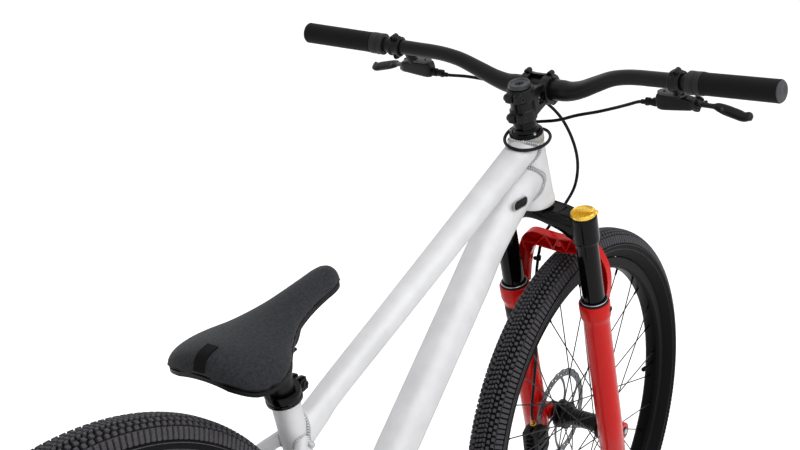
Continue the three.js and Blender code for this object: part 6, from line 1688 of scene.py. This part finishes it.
def make_drive():
    matrix = upright(BOTTOM_BRACKET + SIDE * CHAIN_Y)
    windows = [circle(8, 28, polar(36, TAU * k / 6)) for k in range(6)]
    ring_shape = plate([toothed(28, 53.4, 59.9), circle(21, 60), *windows], 2.1, matrix, 0.2)
    stand_in("chainring", "cranks", [(ring_shape, "rim")])
    matrix = upright(REAR_AXLE + SIDE * CHAIN_Y)
    cog = plate([toothed(13, 23.2, 29.6), circle(16.6, 48)], 2.1, matrix, 0.2)
    stand_in("rear_cog", "rear_cog", [(cog, "chain")])
    count = 82
    pins = chain_path(count)
    pitch = (pins[1] - pins[0]).length
    eight = []
    for k in range(40):
        a = TAU * k / 40
        eight.append((pitch / 2 * (1 if math.cos(a) > 0 else -1) + 4.1 * math.cos(a),
                      4.1 * math.sin(a) * (1 if abs(math.cos(a)) > 0.25 else 0.74)))
    links = []
    for gap in (2.15, 3.3):
        link = Shape()
        for side in (-1, 1):
            link.add(plate([eight], 0.95, Matrix.Translation((0, 0, side * gap)), 0.15))
        links.append(link)
    rollers = rod(Vector((0, 0, -1.6)), Vector((0, 0, 1.6)), 3.8, 14)
    rollers.add(rod(Vector((0, 0, -3.5)), Vector((0, 0, 3.5)), 1.8, 10))
    whole = Shape()
    for k in range(count):
        a, b = pins[k], pins[(k + 1) % count]
        middle, run = (a + b) / 2, b - a
        place = placed(Vector((middle.x, CHAIN_Y, middle.y)), (run.x, 0, run.y), (-run.y, 0, run.x))
        whole.add(links[k % 2].moved(place))
        whole.add(rollers.moved(upright(Vector((a.x, CHAIN_Y, a.y)))))
    stand_in("chain", "frame", [(whole, "chain")])
    cup = lathe([(12.2, 36.6), (20.9, 36.6), (21, 36.8), (21, 39.8), (20.2, 40.8), (12.2, 40.8)],
                BOTTOM_BRACKET, SIDE, 48, True)
    sleeve = lathe([(17, -36), (17, 36), (16, 36), (16, -36)], BOTTOM_BRACKET, SIDE, 40, True)
    notches = Shape()
    for k in range(16):
        a = TAU * k / 16
        at = BOTTOM_BRACKET + Vector((20.9 * math.cos(a), 38.6, 20.9 * math.sin(a)))
        notches.add(rod(at - SIDE * 1.6, at + SIDE * 1.6, 0.9, 10))
    stand_in("bottom_bracket_bearings", "frame", [(joined([both(cup), sleeve]), "satin"),
                                                     (both(notches), "gloss")])
    arm_rows = [(-0.08, 0, 0.8, 0.75), (0, 0, 1, 1), (0.12, 0.14, 0.95, 0.86), (0.25, 0.4, 0.9, 0.735),
                (0.5, 0.75, 0.82, 0.66), (0.8, 1, 0.75, 0.625), (1, 1, 0.75, 0.735), (1.07, 1, 0.6, 0.44)]
    for name, way in SIDES:
        stations = []
        for share, spread, thick, tall in arm_rows:
            at = BOTTOM_BRACKET + Vector((-CRANK_LENGTH * share * way, way * mixed(58, 66, spread), 0))
            stations.append((at, 8 * thick, 17 * tall))
        arm = oval_tube(smooth_stations(stations, 40), UP, 40, 0.72)
        end = BOTTOM_BRACKET + Vector((-CRANK_LENGTH * way, 0, 0))
        shapes = [arm, lathe([(13, 59), (13, 73.4), (12, 74), (6, 74), (6, 59)], end, SIDE * way, 40, True)]
        screws = [bolt(BOTTOM_BRACKET + SIDE * way * 65.4, SIDE * way, 9.6, 0.9, 0.5)]
        spindle = tube([end + SIDE * way * s for s in (62, 76, 80, 150, 154)], [7.2, 7.2, 6, 5.4, 4.6], 28)
        if way > 0:
            shapes.append(rod(BOTTOM_BRACKET - SIDE * 63.5, BOTTOM_BRACKET + SIDE * 62, 11.9, 40))
        else:
            shapes.append(lathe([(12.3, 41.5), (21.5, 41.5), (27, 43), (27, 44.8), (22, 46.4), (16, 51), (12.3, 52)],
                                BOTTOM_BRACKET, -SIDE, 56, True))
        stand_in(f"{name}_crank", "cranks", [(joined(shapes), "satin"), (joined(screws), "screw"),
                                                (spindle, "steel")], 45)


def make_pedals():
    for name, way in SIDES:
        middle = BOTTOM_BRACKET + Vector((-CRANK_LENGTH * way, 122 * way, 0))
        flat = placed(middle, (1, 0, 0), (0, 1, 0))
        outline = [(-50, -32), (-42, -44), (-20, -48), (20, -48), (42, -44), (50, -32), (50, 32), (42, 44),
                   (20, 48), (-20, 48), (-42, 44), (-50, 32)]
        holes = []
        for side in (-1, 1):
            holes.append([(side * 12, -36), (side * 34, -35), (side * 41, -28), (side * 41, 28),
                          (side * 34, 35), (side * 12, 36)])
        body = plate([outline, *holes], 12.4, flat, 1.2)
        body.add(rod(middle - SIDE * 46, middle + SIDE * 46, 8.3, 32))
        for side in (-1, 1):
            body.add(block((30, 5, 9), flat @ Matrix.Translation((side * 26, 0, 0)), 1.2))
        pins = Shape()
        for px, py in ((-45, -22), (-45, 0), (-45, 22), (45, -22), (45, 0), (45, 22), (-26, -41), (26, -41),
                       (-26, 41), (26, 41)):
            at = flat @ Vector((px, py, 0))
            pins.add(rod(at - UP * 8.5, at + UP * 8.5, 1.7, 12))
        stand_in(f"{name}_pedal", f"{name}_pedal", [(body, "satin"), (pins, "screw")], 40)


# Stage

FLOOR_REACH = 60


def background_rays(tree):
    """Adds a value of 1 for the rays that see the white background: camera, glossy and transmission."""
    rays = add_node(tree, "ShaderNodeLightPath")
    sight = rays.outputs["Is Camera Ray"]
    for kind in ("Is Glossy Ray", "Is Transmission Ray"):
        sight = add_node(tree, "ShaderNodeMath", {0: sight, 1: rays.outputs[kind]}, operation="MAXIMUM").outputs[0]
    return sight


def make_stage(looks):
    floor = bpy.data.meshes.new("floor")
    corners = [(x * FLOOR_REACH, y * FLOOR_REACH, 0) for x, y in ((-1, -1), (1, -1), (1, 1), (-1, 1))]
    floor.from_pydata(corners, [], [(0, 1, 2, 3)])
    ground = bpy.data.objects.new("floor", floor)
    bpy.context.scene.collection.objects.link(ground)
    # Seamless white paper: seen from the camera and in mirrors it is plain white, save for the shadow
    material, tree, skin = new_material("white_paper", "#f4f4f4", 0.0, 0.9)
    tree.links.new(background_rays(tree), skin.inputs["Emission Strength"])
    skin.inputs["Emission Color"].default_value = (looks.floor_glow,) * 3 + (1,)
    floor.materials.append(material)

    world = bpy.data.worlds.new("studio")
    bpy.context.scene.world = world
    world.use_nodes = True
    tree = world.node_tree
    tree.nodes.clear()
    soft = add_node(tree, "ShaderNodeBackground", {"Color": (1, 1, 1, 1), "Strength": looks.room_light})
    white = add_node(tree, "ShaderNodeBackground", {"Color": (1, 1, 1, 1), "Strength": 1.0})
    seen = add_node(tree, "ShaderNodeMixShader", {0: background_rays(tree), 1: soft.outputs[0], 2: white.outputs[0]})
    add_node(tree, "ShaderNodeOutputWorld", {"Surface": seen.outputs[0]})

    def lamp(name, place, target, size, power, long=None):
        light = bpy.data.lights.new(name, "AREA")
        light.energy = power
        light.size = size
        if long:
            light.shape = "RECTANGLE"
            light.size_y = long
        made = bpy.data.objects.new(name, light)
        made.location = place
        made.rotation_euler = (Vector(target) - Vector(place)).to_track_quat("-Z", "Y").to_euler()
        bpy.context.scene.collection.objects.link(made)

    middle = (0, 0, 0.6)
    # The long box up on the right lies where the slanting tubes mirror the camera's view
    lamp("upper_right_softbox", (0.0, -2.1, 2.6), (0.1, 0, 0.6), 3.4, looks.lamp_power, 2.3)
    lamp("front_softbox", (-2.2, -1.7, 2.6), middle, 1.8, looks.lamp_power * 0.2, 1.8)
    lamp("overhead", (0.2, 0.3, 3.2), middle, 2.4, looks.lamp_power * 0.18, 2.2)
    lamp("left_side", (0.8, 2.6, 1.7), middle, 1.4, looks.lamp_power * 0.2, 1.8)
    bpy.context.scene.view_settings.view_transform = "Standard"


def make_camera():
    """The camera of the photograph, from its place, heading, pitch and roll."""
    heading, pitch, roll = math.radians(31.49), math.radians(-13.03), math.radians(2.91)
    ahead = Vector((math.cos(pitch) * math.cos(heading), math.cos(pitch) * math.sin(heading), math.sin(pitch)))
    level = ahead.cross(UP).normalized()
    above = level.cross(ahead)
    right = level * math.cos(roll) + above * math.sin(roll)
    up = above * math.cos(roll) - level * math.sin(roll)
    data = bpy.data.cameras.new("photo_view")
    data.lens, data.sensor_width = 58.82, 36
    data.sensor_fit = "HORIZONTAL"
    data.shift_x, data.shift_y = -0.134, -0.0312
    camera = bpy.data.objects.new("photo_view", data)
    matrix = Matrix((right, up, -ahead)).transposed().to_4x4()
    matrix.translation = (-1.3429, -0.9726, 1.1998)
    camera.matrix_world = matrix
    bpy.context.scene.collection.objects.link(camera)
    bpy.context.scene.camera = camera


# Add-on


def colour_property(name, description, default):
    return bpy.props.FloatVectorProperty(
        name=name, description=description, default=linear(default), size=4, subtype="COLOR", min=0, max=1)


def size_property(name, description, default, low, high):
    return bpy.props.FloatProperty(name=name, description=description, default=default, min=low, max=high)


class BikeLooks(bpy.types.PropertyGroup):
    """Sizes in millimetres and colours that a user would change."""

    frame_colour: colour_property("Frame", "Colour of the bare aluminium tubes", "#ececee")
    fork_colour: colour_property("Fork legs", "Colour of the lacquered lower legs", "#df1a16")
    knob_colour: colour_property("Damping knob", "Colour of the anodised knob", "#f0c84a")
    saddle_colour: colour_property("Saddle", "Colour of the knitted saddle cover", "#3a3c40")
    bead_radius: size_property("Weld bead", "Radius of the weld beads in mm", 4.2, 1, 5)
    knob_height: size_property("Tread depth", "Depth of the tyre tread in mm", 3.4, 1.5, 4)
    hose_radius: size_property("Hose", "Radius of the brake hoses in mm", 2.5, 2, 3)
    floor_glow: size_property("Floor white", "Share of white that the floor shows by itself", 0.78, 0, 1)
    room_light: size_property("Room light", "Strength of the soft light all round", 0.32, 0, 2)
    lamp_power: bpy.props.FloatProperty(
        name="Lamps", description="Power of the main lamp", default=46, min=0, max=500, unit="POWER")


class BIKE_OT_finishes(bpy.types.Operator):
    """Makes the finishes that the pieces share."""

    bl_idname = "bike.finishes"
    bl_label = "Finishes"

    def execute(self, context):
        PALETTE.update(make_materials(context.scene.bike_looks))
        return {"FINISHED"}


class BIKE_OT_frame_tubes(bpy.types.Operator):
    """Builds the welded tubes of the frame with their weld beads."""

    bl_idname = "bike.frame_tubes"
    bl_label = "Frame tubes"

    def execute(self, context):
        make_frame_tubes(context.scene.bike_looks)
        return {"FINISHED"}


class BIKE_OT_frame_fittings(bpy.types.Operator):
    """Builds the port cover, the headset and the seat collar."""

    bl_idname = "bike.frame_fittings"
    bl_label = "Frame fittings"

    def execute(self, context):
        make_port_cover()
        make_headset()
        make_seat_clamp()
        return {"FINISHED"}


class BIKE_OT_seatpost(bpy.types.Operator):
    """Builds the seatpost with its head."""

    bl_idname = "bike.seatpost"
    bl_label = "Seatpost"

    def execute(self, context):
        make_seatpost()
        return {"FINISHED"}


class BIKE_OT_saddle(bpy.types.Operator):
    """Builds the saddle: rails, base, padded cover, edge welt and tag."""

    bl_idname = "bike.saddle"
    bl_label = "Saddle"

    def execute(self, context):
        make_saddle()
        return {"FINISHED"}


class BIKE_OT_cockpit(bpy.types.Operator):
    """Builds the stem, the bar and the grips."""

    bl_idname = "bike.cockpit"
    bl_label = "Stem, bar and grips"

    def execute(self, context):
        make_stem()
        make_handlebar()
        make_grips()
        return {"FINISHED"}


class BIKE_OT_brakes(bpy.types.Operator):
    """Builds the brake masters, levers, calipers and hoses."""

    bl_idname = "bike.brakes"
    bl_label = "Brakes and hoses"

    def execute(self, context):
        make_brakes()
        make_calipers()
        make_hoses(context.scene.bike_looks)
        return {"FINISHED"}


class BIKE_OT_fork(bpy.types.Operator):
    """Builds the fork: crown, stanchions, knob and lower legs."""

    bl_idname = "bike.fork"
    bl_label = "Fork"

    def execute(self, context):
        make_crown()
        make_knob()
        make_lowers()
        return {"FINISHED"}


class BIKE_OT_wheels(bpy.types.Operator):
    """Builds both wheels with their tyres and rotors."""

    bl_idname = "bike.wheels"
    bl_label = "Wheels"

    def execute(self, context):
        make_wheels(context.scene.bike_looks)
        return {"FINISHED"}


class BIKE_OT_drive(bpy.types.Operator):
    """Builds the cranks, chain and cogs."""

    bl_idname = "bike.drive"
    bl_label = "Cranks and chain"

    def execute(self, context):
        make_drive()
        return {"FINISHED"}


class BIKE_OT_pedals(bpy.types.Operator):
    """Builds both pedals."""

    bl_idname = "bike.pedals"
    bl_label = "Pedals"

    def execute(self, context):
        make_pedals()
        return {"FINISHED"}


class BIKE_OT_stage(bpy.types.Operator):
    """Builds the white floor, the soft lamps and the camera."""

    bl_idname = "bike.stage"
    bl_label = "Stage and camera"

    def execute(self, context):
        make_stage(context.scene.bike_looks)
        make_camera()
        return {"FINISHED"}


OPERATORS = (
    BIKE_OT_finishes, BIKE_OT_frame_tubes, BIKE_OT_frame_fittings, BIKE_OT_seatpost, BIKE_OT_saddle,
    BIKE_OT_cockpit, BIKE_OT_brakes, BIKE_OT_fork, BIKE_OT_wheels, BIKE_OT_drive, BIKE_OT_pedals,
    BIKE_OT_stage,
)


class BIKE_PT_looks(bpy.types.Panel):
    """Lists the sizes and colours, and the steps that build the bike."""

    bl_label = "Bike looks"
    bl_idname = "BIKE_PT_looks"
    bl_space_type = "VIEW_3D"
    bl_region_type = "UI"
    bl_category = "Bike"

    def draw(self, context):
        looks = context.scene.bike_looks
        for name in BikeLooks.__annotations__:
            self.layout.prop(looks, name)
        for operator in OPERATORS:
            self.layout.operator(operator.bl_idname)


CLASSES = (BikeLooks, *OPERATORS, BIKE_PT_looks)


def register():
    for kind in CLASSES:
        bpy.utils.register_class(kind)
    bpy.types.Scene.bike_looks = bpy.props.PointerProperty(type=BikeLooks)


def unregister():
    del bpy.types.Scene.bike_looks
    for kind in reversed(CLASSES):
        bpy.utils.unregister_class(kind)


def main():
    register()
    bpy.ops.bike.finishes()
    bpy.ops.bike.frame_tubes()
    bpy.ops.bike.frame_fittings()
    bpy.ops.bike.seatpost()
    bpy.ops.bike.saddle()
    bpy.ops.bike.cockpit()
    bpy.ops.bike.brakes()
    bpy.ops.bike.fork()
    bpy.ops.bike.wheels()
    bpy.ops.bike.drive()
    bpy.ops.bike.pedals()
    bpy.ops.bike.stage()


if __name__ == "__main__":
    main()
